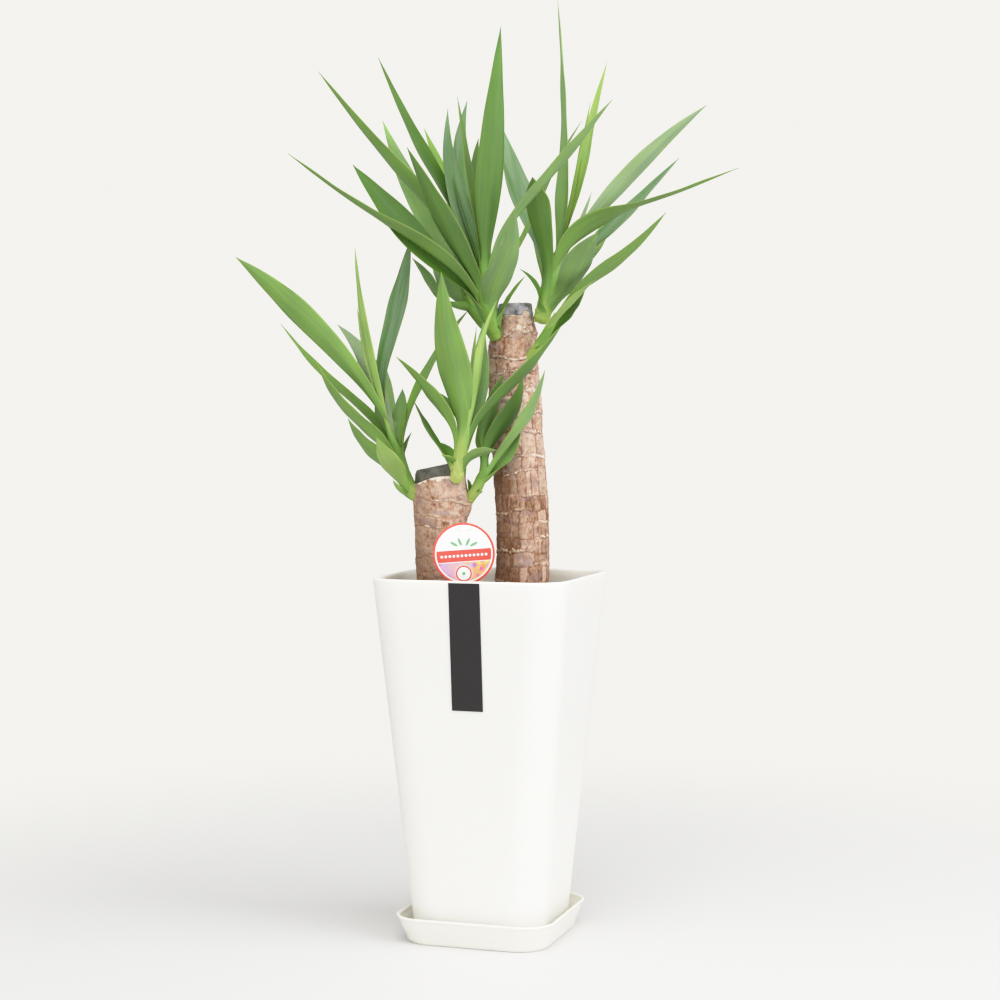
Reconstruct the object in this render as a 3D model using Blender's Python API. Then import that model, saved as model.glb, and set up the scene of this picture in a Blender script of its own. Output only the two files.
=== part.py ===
# Potted yucca: two rooted canes with seven leafy shoots, in a tall square planter on its saucer.
# Metres, +Z up. The origin is the centre of the saucer's underside, on the floor, and the face of
# the planter that carries the band looks along -Y.

import math

import bmesh
import bpy
import numpy as np

MM = 0.001
GAP = 0.3 * MM  # clearance between pieces that touch

# Saucer
SAUCER_RIM_SIDE = 164 * MM
SAUCER_FOOT_SIDE = 146 * MM
SAUCER_HEIGHT = 27 * MM
SAUCER_CORNER = 31 * MM
SAUCER_WALL = 2.4 * MM
SAUCER_FLOOR = 3 * MM
SAUCER_LIP = 3.4 * MM  # thickness of the rounded rim

# Planter
POT_RIM_SIDE = 200 * MM
POT_FOOT_SIDE = 135.5 * MM
POT_RIM_HEIGHT = 362 * MM
POT_BASE = SAUCER_FLOOR + GAP
POT_CORNER = 35 * MM
POT_WALL = 3 * MM
POT_FLOOR = 4 * MM
POT_LIP = 4.4 * MM  # thickness of the rim
POT_LIP_DEPTH = 9 * MM
POT_FOOT_WIDTH = 9 * MM  # the ring that the planter stands on, round a recessed panel
POT_RECESS = 1.5 * MM
DRAIN_RADIUS = 6 * MM
DRAIN_OFFSET = 30 * MM

# Soil
SOIL_HEIGHT = 333 * MM
SOIL_DOME = 5 * MM
SOIL_LUMP = 2.2 * MM

# The plant is laid out in millimetres as (right, away, up), seen from the front of the plant, which
# is turned this far from the front of the planter.
PLANT_TURN = math.radians(18)

# Canes: the spine's rows are (up, right, away, radius). The bark swells in a knob under each shoot;
# a knob's row is (degrees round the cane from its right side, up, rise). The slope tips the dressed
# end, as rise per unit of distance to the right.
CANE_SIDES = 16
SCAR_RELIEF = 0.8  # how far each leaf scar's lower lip stands out
SCAR_WAVE = 3.2  # how far a leaf scar's line wanders up and down
CANES = {
    "tall": {
        "spine": (
            (205, 27, 17, 25.5),
            (330, 30, 15, 27),
            (356, 30.5, 15, 27.2),
            (382, 31.5, 15, 26.4),
            (421, 31, 15, 26.4),
            (454, 29, 15, 26.8),
            (480, 27, 15, 26.4),
            (507, 25, 15, 25.9),
            (537, 23.5, 15, 26),
            (567, 22, 15, 25.1),
            (590, 20.5, 15, 23.6),
            (605, 22, 15, 20.5),
            (619, 23.5, 15, 17.8),
            (633.5, 23.5, 15, 16.8),
        ),
        "knobs": ((-133, 590, 2.5), (-15, 604, 3), (-53, 566, 2), (144, 594, 2)),
        "scar_pitch": 19,
        "seal_depth": 13,
        "slope": 0.02,
    },
    "short": {
        "spine": (
            (225, -49, -13, 24),
            (330, -50, -15, 24.6),
            (361, -50.2, -15, 24.6),
            (407, -51, -15, 25.2),
            (422, -50.8, -15, 25.7),
            (436, -50, -15, 26.4),
            (452, -51, -15, 25.8),
            (471, -51, -15, 24.2),
        ),
        "knobs": ((180, 430, 2), (-50, 448, 2.5), (-5, 430, 5)),
        "scar_pitch": 17,
        "seal_depth": 11,
        "slope": 0.22,
    },
}
KNOB_REACH = 10  # how far a knob spreads over the bark
SEAL_WALL = 1.5  # wax coat on a dressed cane end
SEAL_WAVE = 1.4

# Leafy shoots. "stem" holds the three points of a quadratic curve and "radius" is the stem's at its
# foot. A leaf's row is
#   (rank, right, away, up, bow, sway, width, belly, face, turn)
# rank: how far up the stem it is rooted, 0 to 1; right, away, up: its tip;
# bow and sway: how far its rib leaves the straight line to the tip, to the left of that line;
# width: at its widest; belly: the share of its length where that is; face: which side is seen from
# the front once the leaf is clear of the stem, in degrees, from 0 (upper face square on) through 90
# (edge on) to 180 (underside square on);
# turn: how many degrees more the blade has twisted by its outer part.
SHOOTS = {
    "shoot_tall_left": {
        "stem": ((5, -3, 596), (-4, -13, 616), (-6, -16, 662)),
        "radius": 9.5,
        "leaves": (
            (1.0, 9, -20, 903, 3, 0, 25, 0.53, 158, 0),
            (0.9, -34, -4, 837, 0, 0, 18, 0.5, 64, 0),
            (0.8, -25, 45, 841, 11, -3, 26, 0.5, 50, 0),
            (0.7, -44, 15, 828, 8, -3, 28, 0.5, 27, 0),
            (0.8, -14, 75, 807, 7, 0, 22, 0.56, 50, 0),
            (0.5, -80, -75, 778, -1, 0, 27, 0.5, 131, 0),
            (0.7, -115, 35, 883, -2, -2, 26, 0.5, 60, 0),
            (0.5, -168, -40, 857, -9, -4, 25, 0.5, 124, -8),
            (0.5, -112, 60, 823, 11, 1, 26, 0.55, 40, 0),
            (0.7, -71, 100, 821, -3, 0, 24, 0.5, 50, 0),
            (0.3, -137, -20, 768, 1, 0, 31, 0.6, 30, 0),
            (0.2, -197, -60, 774, -12, -5, 28, 0.4, 125, -22),
            (0.3, 23, -105, 714, 1, 2, 29, 0.58, 148, 0),
            (0.4, 115, -98, 828, 22, 6, 23, 0.66, 114, 0),
            (0.6, 88, 42, 811, -1, -3, 23, 0.56, 68, 0),
            (0.1, 33, -25, 658, 3, 0, 10, 0.56, 66, 0),
            (0.4, -40, 130, 770, 6, 0, 25, 0.56, 20, 0),
        ),
    },
    "shoot_tall_right": {
        "stem": ((48, 9, 613), (55, 8, 631), (62, 10, 676)),
        "radius": 9.5,
        "leaves": (
            (0.5, 40, -37, 754, -3, -1, 27, 0.6, 148, 0),
            (0.9, 65, -18, 929, -10, 0, 22, 0.42, 58, 28),
            (1.0, 116, 25, 876, -3, -2, 18, 0.5, 56, 0),
            (0.9, 100, 38, 838, -3, -1, 14, 0.5, 73, 0),
            (0.7, 101, 120, 759, -3, 0, 20, 0.56, 50, 0),
            (0.7, 213, -10, 828, 11, 0, 22, 0.7, 145, 0),
            (0.6, 192, 60, 785, -4, -1, 25, 0.6, 56, 0),
            (0.3, 242, -35, 764, 31, 10, 25, 0.42, 138, -44),
            (0.2, 102, -80, 696, -2, -3, 26, 0.6, 152, 0),
            (0.5, 11, 72, 817, -4, -3, 27, 0.6, 15, 0),
            (0.0, 28, -15, 666, -9, 0, 9, 0.56, 56, 0),
            (0.4, 60, 135, 770, 4, 0, 26, 0.56, 25, 0),
            (0.3, 130, 95, 735, -4, 0, 24, 0.56, 45, 0),
        ),
    },
    "shoot_tall_rear": {
        "stem": ((7, 26, 602), (-16, 37, 615), (-26, 47, 647)),
        "radius": 6.5,
        "leaves": (
            (0.7, -82, 32, 688, 8, 4, 20, 0.56, 63, 0),
            (1.0, -58, 72, 738, 2, 0, 24, 0.56, 41, 0),
            (0.8, -30, 105, 715, 3, 0, 20, 0.56, 25, 0),
            (0.4, -75, 95, 690, 6, 0, 18, 0.56, 40, 0),
        ),
    },
    "shoot_tall_low": {
        "stem": ((33, 0, 574), (49, -10, 590), (64, -16, 622)),
        "radius": 6,
        "leaves": (
            (0.8, 168, -70, 717, 1, 3, 19, 0.62, 133, 0),
            (0.4, 93, 0, 645, -3, 0, 20, 0.56, 60, 0),
            (0.3, 100, -52, 652, 4, 0, 14, 0.56, 120, 0),
        ),
    },
    "shoot_short_left": {
        "stem": ((-68, -15, 434), (-87, -17, 449), (-95, -20, 490)),
        "radius": 8,
        "leaves": (
            (0.8, -251, -35, 678, -21, -2, 28, 0.66, 154, 0),
            (1.0, -135, -20, 687, 7, 0, 14, 0.48, 130, 0),
            (0.9, -81, 5, 697, 13, 6, 26, 0.7, 44, 0),
            (0.9, -158, 50, 613, -7, 3, 27, 0.6, 48, 0),
            (0.9, -116, 90, 590, 2, 0, 20, 0.56, 50, 0),
            (0.6, -212, 10, 613, -3, -4, 22, 0.42, 68, 0),
            (0.4, -171, -55, 573, 1, -7, 25, 0.45, 121, 0),
            (0.2, -143, -15, 518, 3, -2, 22, 0.55, 130, 0),
            (0.1, -111, -70, 499, 3, 0, 24, 0.56, 151, 0),
            (0.0, -98, -25, 457, 3, 0, 9, 0.56, 132, 0),
            (0.8, -90, 15, 548, 0, 0, 20, 0.56, 53, 0),
            (0.6, -22, 5, 628, 16, 1, 22, 0.56, 66, 0),
            (0.5, -81, 20, 504, 5, 0, 9, 0.56, 56, 0),
            (0.4, -120, 75, 545, 4, 0, 22, 0.56, 40, 0),
            (1.0, -136, 22, 629, 4, 0, 16, 0.56, 65, 0),
        ),
    },
    "shoot_short_front": {
        "stem": ((-35, -33, 456), (-33, -45, 467), (-29, -50, 492)),
        "radius": 7.5,
        "leaves": (
            (1.0, -48, -85, 658, -2, -2, 31, 0.6, 165, 0),
            (1.0, 5, -55, 632, 2, -3, 15, 0.5, 122, 0),
            (0.9, -15, -25, 608, -1, 0, 14, 0.56, 69, 0),
            (0.8, -8, -22, 613, -7, -2, 24, 0.56, 34, 0),
            (0.7, 67, -60, 606, 4, 3, 24, 0.56, 115, 0),
            (0.6, -93, -60, 578, -11, -1, 24, 0.5, 120, 0),
            (0.3, -76, -45, 535, 1, 0, 14, 0.56, 69, 0),
            (0.7, -56, -20, 545, -13, 0, 15, 0.56, 58, 0),
            (0.3, -51, -25, 494, -2, 0, 15, 0.56, 37, 0),
            (0.0, -49, -60, 482, -7, 0, 9, 0.56, 132, 0),
            (0.2, 5, -75, 487, 7, 0, 15, 0.56, 132, 0),
        ),
    },
    "shoot_short_right": {
        "stem": ((-24, -18, 436), (-15, -24, 445), (-8, -26, 466)),
        "radius": 6.5,
        "leaves": (
            (0.8, 52, -60, 565, -8, 1, 24, 0.6, 117, 0),
            (0.7, 29, -28, 511, -7, 0, 20, 0.56, 53, 0),
            (0.9, 31, -40, 560, 1, 4, 22, 0.56, 141, 0),
            (1.0, 12, -32, 562, 5, 0, 22, 0.56, 133, 0),
            (0.9, -3, 5, 536, 2, 0, 20, 0.56, 46, 0),
            (0.1, -24, -20, 458, -1, 0, 8, 0.56, 60, 0),
        ),
    },
}
STEM_SIDES = 8
STEM_ROWS = 5
STEM_TAPER = 0.8  # the stem's radius at its tip, over that at its foot
LEAF_ROW_SPACING = 36  # a leaf has a row of points for each of these, and never under five
LEAF_RIB_THICKNESS = 1.3
LEAF_EDGE_THICKNESS = 0.7
LEAF_TIP_WIDTH = 1.0
LEAF_BASE_WIDTH = 0.27  # over the greatest width
LEAF_FALL = 1.5  # the power by which the blade narrows to its tip
LEAF_LAUNCH = 0.6  # how strongly a leaf sets off along its stem
LEAF_ARCH = 1.25  # the power by which a leaf leans towards or away from the front
LEAF_CLASP = 0.42  # the share of its length over which a leaf turns from clasping to its open face
LEAF_TWIST = (0.2, 0.62)  # between these shares of its length it twists by its turn
CHANNEL_AT_BASE = 0.3  # how far the edges stand above the rib, over the width
CHANNEL_AT_TIP = 0.1

# Plant label: a round card on a flat stake
LABEL_CENTRE = (-27, -57, 386)
LABEL_RADIUS = 30.3
LABEL_THICKNESS = 1.0
LABEL_SIDES = 40
STAKE_WIDTH = 9
STAKE_THICKNESS = 1.6
STAKE_RECESS = 0.2  # how far the stake's front lies behind the card's
STAKE_FOOT = 262

# Band on the planter's front face
BAND_WIDTH = 31.5 * MM
BAND_LENGTH = 125 * MM
BAND_THICKNESS = 0.5 * MM
BAND_CENTRE_X = 4.7 * MM
BAND_TOP = 360.2 * MM

COLOURS = {
    "glazed_white": ((0.86, 0.85, 0.80), 0.28),
    "soil": ((0.10, 0.07, 0.045), 0.95),
    "bark": ((0.48, 0.33, 0.24), 0.85),
    "wax": ((0.10, 0.11, 0.12), 0.45),
    "leaf": ((0.18, 0.38, 0.10), 0.42),
    "card": ((0.92, 0.90, 0.88), 0.4),
    "band": ((0.03, 0.03, 0.035), 0.5),
}


def clear_scene():
    for old in list(bpy.data.objects):
        bpy.data.objects.remove(old, do_unlink=True)


def material(name):
    """The named Principled material, made the first time that it is asked for."""
    found = bpy.data.materials.get(name)
    if found:
        return found
    colour, roughness = COLOURS[name]
    made = bpy.data.materials.new(name)
    made.use_nodes = True
    shader = made.node_tree.nodes["Principled BSDF"]
    shader.inputs["Base Color"].default_value = (*colour, 1)
    shader.inputs["Roughness"].default_value = roughness
    shader.inputs["Metallic"].default_value = 0
    made.diffuse_color = (*colour, 1)
    return made


def add_object(name, points, faces, finish):
    """An object from points in metres and faces that list them anticlockwise, seen from outside."""
    mesh = bpy.data.meshes.new(name)
    mesh.from_pydata([tuple(map(float, point)) for point in points], [], faces)
    mesh.materials.append(material(finish))
    mesh.update()
    thing = bpy.data.objects.new(name, mesh)
    bpy.context.scene.collection.objects.link(thing)
    return thing


def remove_object(thing):
    mesh = thing.data
    bpy.data.objects.remove(thing, do_unlink=True)
    bpy.data.meshes.remove(mesh)


def apply_modifiers(thing):
    """Swaps the object's mesh for the one that its modifiers make."""
    bpy.context.view_layer.update()
    evaluated = thing.evaluated_get(bpy.context.evaluated_depsgraph_get())
    made = bpy.data.meshes.new_from_object(evaluated)
    old = thing.data
    thing.modifiers.clear()
    thing.data = made
    bpy.data.meshes.remove(old)
    made.name = thing.name


def cut(thing, cutters):
    """Takes each cutter out of the object, and removes the cutters."""
    for cutter in cutters:
        boolean = thing.modifiers.new("cut", "BOOLEAN")
        boolean.operation = "DIFFERENCE"
        boolean.solver = "EXACT"
        boolean.object = cutter
    apply_modifiers(thing)
    for cutter in cutters:
        remove_object(cutter)
    keep_one_body(thing)


def fuse(thing, repeats):
    """One solid from the object and its repeats, by one union on a collection."""
    group = bpy.data.collections.new(thing.name + "_repeats")
    bpy.context.scene.collection.children.link(group)
    for repeat in repeats:
        bpy.context.scene.collection.objects.unlink(repeat)
        group.objects.link(repeat)
    boolean = thing.modifiers.new("fuse", "BOOLEAN")
    boolean.operation = "UNION"
    boolean.solver = "EXACT"
    boolean.operand_type = "COLLECTION"
    boolean.collection = group
    apply_modifiers(thing)
    for repeat in repeats:
        remove_object(repeat)
    bpy.data.collections.remove(group)
    keep_one_body(thing)


def keep_one_body(thing):
    """Drops the loose scraps and the walls of sealed hollows that a union leaves."""
    mesh = bmesh.new()
    mesh.from_mesh(thing.data)
    bodies = []
    waiting = set(mesh.verts)
    while waiting:
        body = [waiting.pop()]
        for vertex in body:
            for edge in vertex.link_edges:
                other = edge.other_vert(vertex)
                if other in waiting:
                    waiting.remove(other)
                    body.append(other)
        bodies.append(body)
    bodies.sort(key=len)
    for body in bodies[:-1]:
        bmesh.ops.delete(mesh, geom=body, context="VERTS")
    mesh.to_mesh(thing.data)
    mesh.free()


def loft_faces(rows, columns):
    """Quads between rings of points, and a cap on the first and on the last ring."""
    faces = [tuple(reversed(range(columns)))]
    for row in range(rows - 1):
        for column in range(columns):
            after = (column + 1) % columns
            low = row * columns
            high = low + columns
            faces.append((low + column, low + after, high + after, high + column))
    faces.append(tuple(range((rows - 1) * columns, rows * columns)))
    return faces


def loft(name, rings, finish):
    """A solid through rings that run anticlockwise, seen from above, from its underside up."""
    points = np.concatenate(rings)
    return add_object(name, points, loft_faces(len(rings), len(rings[0])), finish)


def rounded_square(side, radius, height, corner_points=6):
    """A ring round a square with round corners, anticlockwise."""
    turn = np.linspace(0, math.pi / 2, corner_points)
    inner = side / 2 - radius
    ring = []
    for quarter in range(4):
        angle = turn + quarter * math.pi / 2
        middle = (quarter + 0.5) * math.pi / 2
        across = inner * math.sqrt(2) * math.cos(middle) + radius * np.cos(angle)
        along = inner * math.sqrt(2) * math.sin(middle) + radius * np.sin(angle)
        ring.append(np.stack([across, along, np.full_like(angle, height)], axis=1))
    return np.concatenate(ring)


def from_plant(points):
    """Metres in the part's frame, from millimetres (right, away, up) seen from the plant's front."""
    right, away, up = np.asarray(points, float).T
    x = right * math.cos(PLANT_TURN) - away * math.sin(PLANT_TURN)
    y = right * math.sin(PLANT_TURN) + away * math.cos(PLANT_TURN)
    return np.stack([x, y, up], axis=1) * MM


# Saucer, planter and soil


def saucer_side(height):
    """The saucer's outer side, which flares from its foot to its rim."""
    return SAUCER_FOOT_SIDE + (SAUCER_RIM_SIDE - SAUCER_FOOT_SIDE) * height / SAUCER_HEIGHT


def make_saucer():
    lip_radius = SAUCER_LIP / 2
    lip_low = SAUCER_HEIGHT - lip_radius
    foot_round = 1.2 * MM
    rings = [
        rounded_square(SAUCER_FOOT_SIDE - 2 * foot_round, SAUCER_CORNER - foot_round, 0),
        rounded_square(saucer_side(foot_round), SAUCER_CORNER, foot_round),
    ]
    neck = saucer_side(lip_low) - 2 * (SAUCER_LIP - SAUCER_WALL)
    rings.append(rounded_square(neck, SAUCER_CORNER, lip_low - lip_radius))
    for step in range(6):
        angle = math.pi * step / 5
        side = saucer_side(lip_low) - 2 * lip_radius * (1 - math.cos(angle))
        corner = SAUCER_CORNER - lip_radius * (1 - math.cos(angle))
        rings.append(rounded_square(side, corner, lip_low + lip_radius * math.sin(angle)))
    inner_corner = SAUCER_CORNER - SAUCER_LIP
    inner_low = saucer_side(SAUCER_FLOOR) - 2 * SAUCER_WALL
    rings.append(rounded_square(inner_low, inner_corner, SAUCER_FLOOR + 2 * MM))
    rings.append(rounded_square(inner_low - 4 * MM, inner_corner - 2 * MM, SAUCER_FLOOR))
    return loft("saucer", rings, "glazed_white")


def pot_side(height):
    """The planter's outer side, which widens evenly from its foot to its rim."""
    share = (height - POT_BASE) / (POT_RIM_HEIGHT - POT_BASE)
    return POT_FOOT_SIDE + (POT_RIM_SIDE - POT_FOOT_SIDE) * share


def make_pot():
    edge = 1.5 * MM
    panel = POT_FOOT_SIDE - 2 * POT_FOOT_WIDTH
    panel_corner = POT_CORNER - POT_FOOT_WIDTH
    lip_height = POT_RIM_HEIGHT - POT_LIP_DEPTH
    rings = [
        rounded_square(panel, panel_corner, POT_BASE + POT_RECESS),
        rounded_square(panel, panel_corner, POT_BASE),
        rounded_square(POT_FOOT_SIDE - 2 * edge, POT_CORNER - edge, POT_BASE),
        rounded_square(pot_side(POT_BASE + edge), POT_CORNER, POT_BASE + edge),
    ]
    lip_round = POT_LIP / 2
    for step in range(5):
        angle = math.pi * step / 4
        height = POT_RIM_HEIGHT - lip_round * (1 - math.sin(angle))
        inset = lip_round * (1 - math.cos(angle))
        rings.append(rounded_square(pot_side(height) - 2 * inset, POT_CORNER - inset, height))
    rings += [
        rounded_square(pot_side(lip_height) - 2 * POT_LIP, POT_CORNER - POT_LIP, lip_height),
        rounded_square(
            pot_side(lip_height - 3 * MM) - 2 * POT_WALL, POT_CORNER - POT_WALL, lip_height - 3 * MM
        ),
    ]
    floor = POT_BASE + POT_FLOOR
    rings += [
        rounded_square(pot_side(floor) - 2 * POT_WALL, POT_CORNER - POT_WALL, floor + 3 * MM),
        rounded_square(pot_side(floor) - 2 * (POT_WALL + 3 * MM), POT_CORNER - POT_WALL - 3 * MM, floor),
    ]
    pot = loft("pot", rings, "glazed_white")
    cut(pot, [drain_cutter(side_x, side_y) for side_x in (-1, 1) for side_y in (-1, 1)])
    return pot


def drain_cutter(side_x, side_y):
    angle = np.linspace(0, 2 * math.pi, 12, endpoint=False)
    ring = np.stack([np.cos(angle), np.sin(angle), np.zeros_like(angle)], axis=1) * DRAIN_RADIUS
    ring += np.array([side_x, side_y, 0]) * DRAIN_OFFSET
    low = ring + np.array([0, 0, POT_BASE - 1 * MM])
    high = ring + np.array([0, 0, POT_BASE + POT_FLOOR + 1 * MM])
    return loft("drain", [low, high], "soil")


def soil_height(x, y):
    """The soil's top: a low dome with lumps, from two products of sines."""
    reach = np.clip(1 - (x**2 + y**2) / (95 * MM) ** 2, 0, 1)
    lumps = np.sin(x * 140 + 1) * np.sin(y * 115) + 0.6 * np.sin(x * 260) * np.sin(y * 235 + 2)
    return SOIL_HEIGHT + SOIL_DOME * reach + SOIL_LUMP * lumps


def make_soil():
    """The soil fills the planter, and each cane and the label's stake stand in a plain hole."""
    floor = POT_BASE + POT_FLOOR + GAP
    slack = 2 * (POT_WALL + GAP)
    corner = POT_CORNER - POT_WALL - GAP
    rings = [
        rounded_square(pot_side(floor) - slack - 8 * MM, corner - 4 * MM, floor),
        rounded_square(pot_side(floor) - slack - 1 * MM, corner, floor + 4 * MM),
        rounded_square(pot_side(SOIL_HEIGHT) - slack - 1 * MM, corner, SOIL_HEIGHT - 7 * MM),
    ]
    top = rounded_square(pot_side(SOIL_HEIGHT) - slack - 1 * MM, corner, 0)
    for share in (0.97, 0.8, 0.6, 0.4, 0.2, 0.06):
        ring = top * share
        ring[:, 2] = soil_height(ring[:, 0], ring[:, 1])
        rings.append(ring)
    soil = loft("soil", rings, "soil")
    cutters = [make_cane_hole(cane) for cane in CANES.values()]
    cutters.append(stake_slab("slot", GAP / MM, "soil"))
    cut(soil, cutters)
    return soil


# Canes and the wax on their ends


def spine_at(cane, up):
    """The cane's centre and radius at a height, in millimetres."""
    rows = np.array(cane["spine"])
    return [np.interp(up, rows[:, 0], rows[:, column]) for column in (1, 2, 3)]


def scar_wave(ring, angle):
    """How far a leaf scar's line rises above its level, round the cane."""
    first = np.sin(angle + 1.9 * ring)
    second = 0.45 * np.sin(2 * angle + 2.7 * ring)
    return SCAR_WAVE * (first + second) / 1.45


def seal_wave(angle):
    return SEAL_WAVE * np.sin(3 * angle + 0.6)


def cane_ring(cane, up, rise, outward, tilt=1.0):
    """A ring round the cane in millimetres: rise lifts each point and outward moves it out."""
    angle = np.linspace(0, 2 * math.pi, CANE_SIDES, endpoint=False)
    right, away, radius = spine_at(cane, up)
    heights = up + rise + tilt * cane["slope"] * radius * np.cos(angle)
    reach = radius + outward + knob_swell(cane, heights, angle)
    return np.stack([right + reach * np.cos(angle), away + reach * np.sin(angle), heights], axis=1)


def knob_swell(cane, heights, angle):
    """How far the knobs push the bark out: a bell curve round each knob's middle."""
    swell = np.zeros_like(angle)
    for turn, up, rise in cane["knobs"]:
        radius = spine_at(cane, up)[2]
        apart = np.remainder(angle - math.radians(turn) + math.pi, 2 * math.pi) - math.pi
        swell += rise * np.exp(-((apart * radius) ** 2 + (heights - up) ** 2) / KNOB_REACH**2)
    return swell


def bark_rings(cane, extra):
    """Rings up the bark, each scar's section widening to its lip, with its line wandering."""
    angle = np.linspace(0, 2 * math.pi, CANE_SIDES, endpoint=False)
    foot = cane["spine"][0][0]
    top = cane["spine"][-1][0]
    bark_top = top - cane["seal_depth"] - 2 * SCAR_WAVE
    start = SOIL_HEIGHT / MM - 14
    count = int((bark_top - start) / cane["scar_pitch"])
    pitch = (bark_top - start) / count
    rings = [cane_ring(cane, foot, 0, extra, 0), cane_ring(cane, start - 8, 0, extra, 0)]
    for scar in range(count):
        low = start + scar * pitch
        tilt = (scar / count) ** 3
        after = ((scar + 1) / count) ** 3
        rise = scar_wave(scar, angle)
        next_rise = scar_wave(scar + 1, angle)
        lip = SCAR_RELIEF * (1 + 0.5 * np.sin(3 * angle + 2.3 * scar))
        rings.append(cane_ring(cane, low + 2.6, rise, extra - lip, tilt))
        if scar < count - 1:
            rings.append(cane_ring(cane, low + pitch - 1.6, next_rise, extra + lip, after))
    return rings


def make_cane(name):
    """A cane: bark up to the seal's edge, then the dressed end, slimmer, inside the seal."""
    cane = CANES[name]
    angle = np.linspace(0, 2 * math.pi, CANE_SIDES, endpoint=False)
    top = cane["spine"][-1][0]
    edge = top - cane["seal_depth"]
    gap = GAP / MM
    slim = SEAL_WALL + gap
    rings = bark_rings(cane, 0)
    rings.append(cane_ring(cane, edge - gap - 1.6, seal_wave(angle), 0.2))
    rings.append(cane_ring(cane, edge - gap, seal_wave(angle), -0.4))
    rings.append(cane_ring(cane, edge - gap, seal_wave(angle), -slim))
    rings.append(cane_ring(cane, top - slim, 0, -slim - 0.4))
    return loft("cane_" + name, [from_plant(ring) for ring in rings], "bark")


def make_cane_envelope(cane):
    """The cane with its seal, larger by the gap all over: it cuts what grows from the cane clear."""
    gap = GAP / MM
    top = cane["spine"][-1][0]
    rings = bark_rings(cane, gap)
    edge = top - cane["seal_depth"]
    rings.append(cane_ring(cane, edge, 0, gap + 0.6))
    rings.append(cane_ring(cane, top - 1.2, 0, gap + 0.2))
    rings.append(cane_ring(cane, top + gap, 0, gap - 1.2))
    return loft("envelope", [from_plant(ring) for ring in rings], "bark")


def make_cane_hole(cane):
    """The plain hole in the soil that a cane stands in, clear of its widest scar."""
    foot = cane["spine"][0][0]
    slack = 1.5 * SCAR_RELIEF + GAP / MM
    heights = (foot - GAP / MM, SOIL_HEIGHT / MM - 22, SOIL_HEIGHT / MM + 25)
    rings = [cane_ring(cane, height, 0, slack, 0) for height in heights]
    return loft("hole", [from_plant(ring) for ring in rings], "soil")


def make_seal(name):
    """A wax cap on a cane's dressed end: a wavy skirt, a rounded shoulder and a flat top."""
    cane = CANES[name]
    angle = np.linspace(0, 2 * math.pi, CANE_SIDES, endpoint=False)
    top = cane["spine"][-1][0]
    edge = top - cane["seal_depth"]
    under = top - SEAL_WALL
    rings = [
        cane_ring(cane, under, 0, -SEAL_WALL - 0.4),
        cane_ring(cane, edge, seal_wave(angle), -SEAL_WALL),
        cane_ring(cane, edge, seal_wave(angle), 0.2),
        cane_ring(cane, edge + 2, seal_wave(angle), 0.5),
        cane_ring(cane, top - 1.4, 0, 0),
        cane_ring(cane, top, 0, -1.4),
    ]
    return loft("seal_" + name, [from_plant(ring) for ring in rings], "wax")


# Leafy shoots


def unit(vectors):
    return vectors / np.linalg.norm(vectors, axis=-1, keepdims=True)


def smooth_step(share):
    share = np.clip(share, 0, 1)
    return share * share * (3 - 2 * share)


def stem_curve(stem, share):
    """Points on the stem's quadratic curve, and its direction there."""
    first, second, third = np.array(stem, float)
    share = np.asarray(share, float)[..., None]
    points = (1 - share) ** 2 * first + 2 * share * (1 - share) * second + share**2 * third
    return points, unit((1 - share) * (second - first) + share * (third - second))


def make_stem(shoot, name):
    """A tapering tube along the stem, with a swollen foot and a rounded tip."""
    share = np.linspace(0, 1, STEM_ROWS)
    points, along = stem_curve(shoot["stem"], share)
    radius = shoot["radius"] * (1 + (STEM_TAPER - 1) * share)
    radius[-1] *= 0.55
    angle = np.linspace(0, 2 * math.pi, STEM_SIDES, endpoint=False)
    side = unit(np.cross(along, (0, 1, 0)))
    front = np.cross(along, side)
    rings = []
    for row in range(STEM_ROWS):
        reach = np.outer(np.cos(angle), side[row]) + np.outer(np.sin(angle), front[row])
        rings.append(from_plant(points[row] + radius[row] * reach))
    return loft(name, rings, "leaf")


def leaf_width(share, width, belly):
    """The blade's width: a sine rise from the base to the belly, and a power fall to the tip."""
    rise = np.sin(np.clip(share / belly, 0, 1) * math.pi / 2) ** 2
    fall = np.clip((share - belly) / (1 - belly), 0, 1) ** LEAF_FALL
    base = LEAF_BASE_WIDTH + (1 - LEAF_BASE_WIDTH) * rise
    return np.maximum(width * base * (1 - fall), LEAF_TIP_WIDTH)


def leaf_rib(shoot, leaf, share):
    """The rib's points: the line to the tip, bowed and swayed, setting off along the stem."""
    rank, right, away, up, bow, sway = leaf[:6]
    start, along = stem_curve(shoot["stem"], 0.15 + 0.85 * rank)
    tip = np.array([right, away, up], float)
    outward = tip - start
    outward[2] = 0
    root = start + unit(outward) * shoot["radius"] * 0.35
    line = tip - root
    length = np.linalg.norm(line)
    left = unit(np.array([-line[2], 0, line[0]]))
    launch = along - unit(line) * (along @ unit(line))
    share = share[:, None]
    points = root + line * share
    points[:, 1] = root[1] + line[1] * share[:, 0] ** LEAF_ARCH
    points += left * (bow * 4 * share * (1 - share) + sway * np.sin(2 * math.pi * share))
    points += launch * LEAF_LAUNCH * length * share * (1 - share) ** 6
    return points


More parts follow.
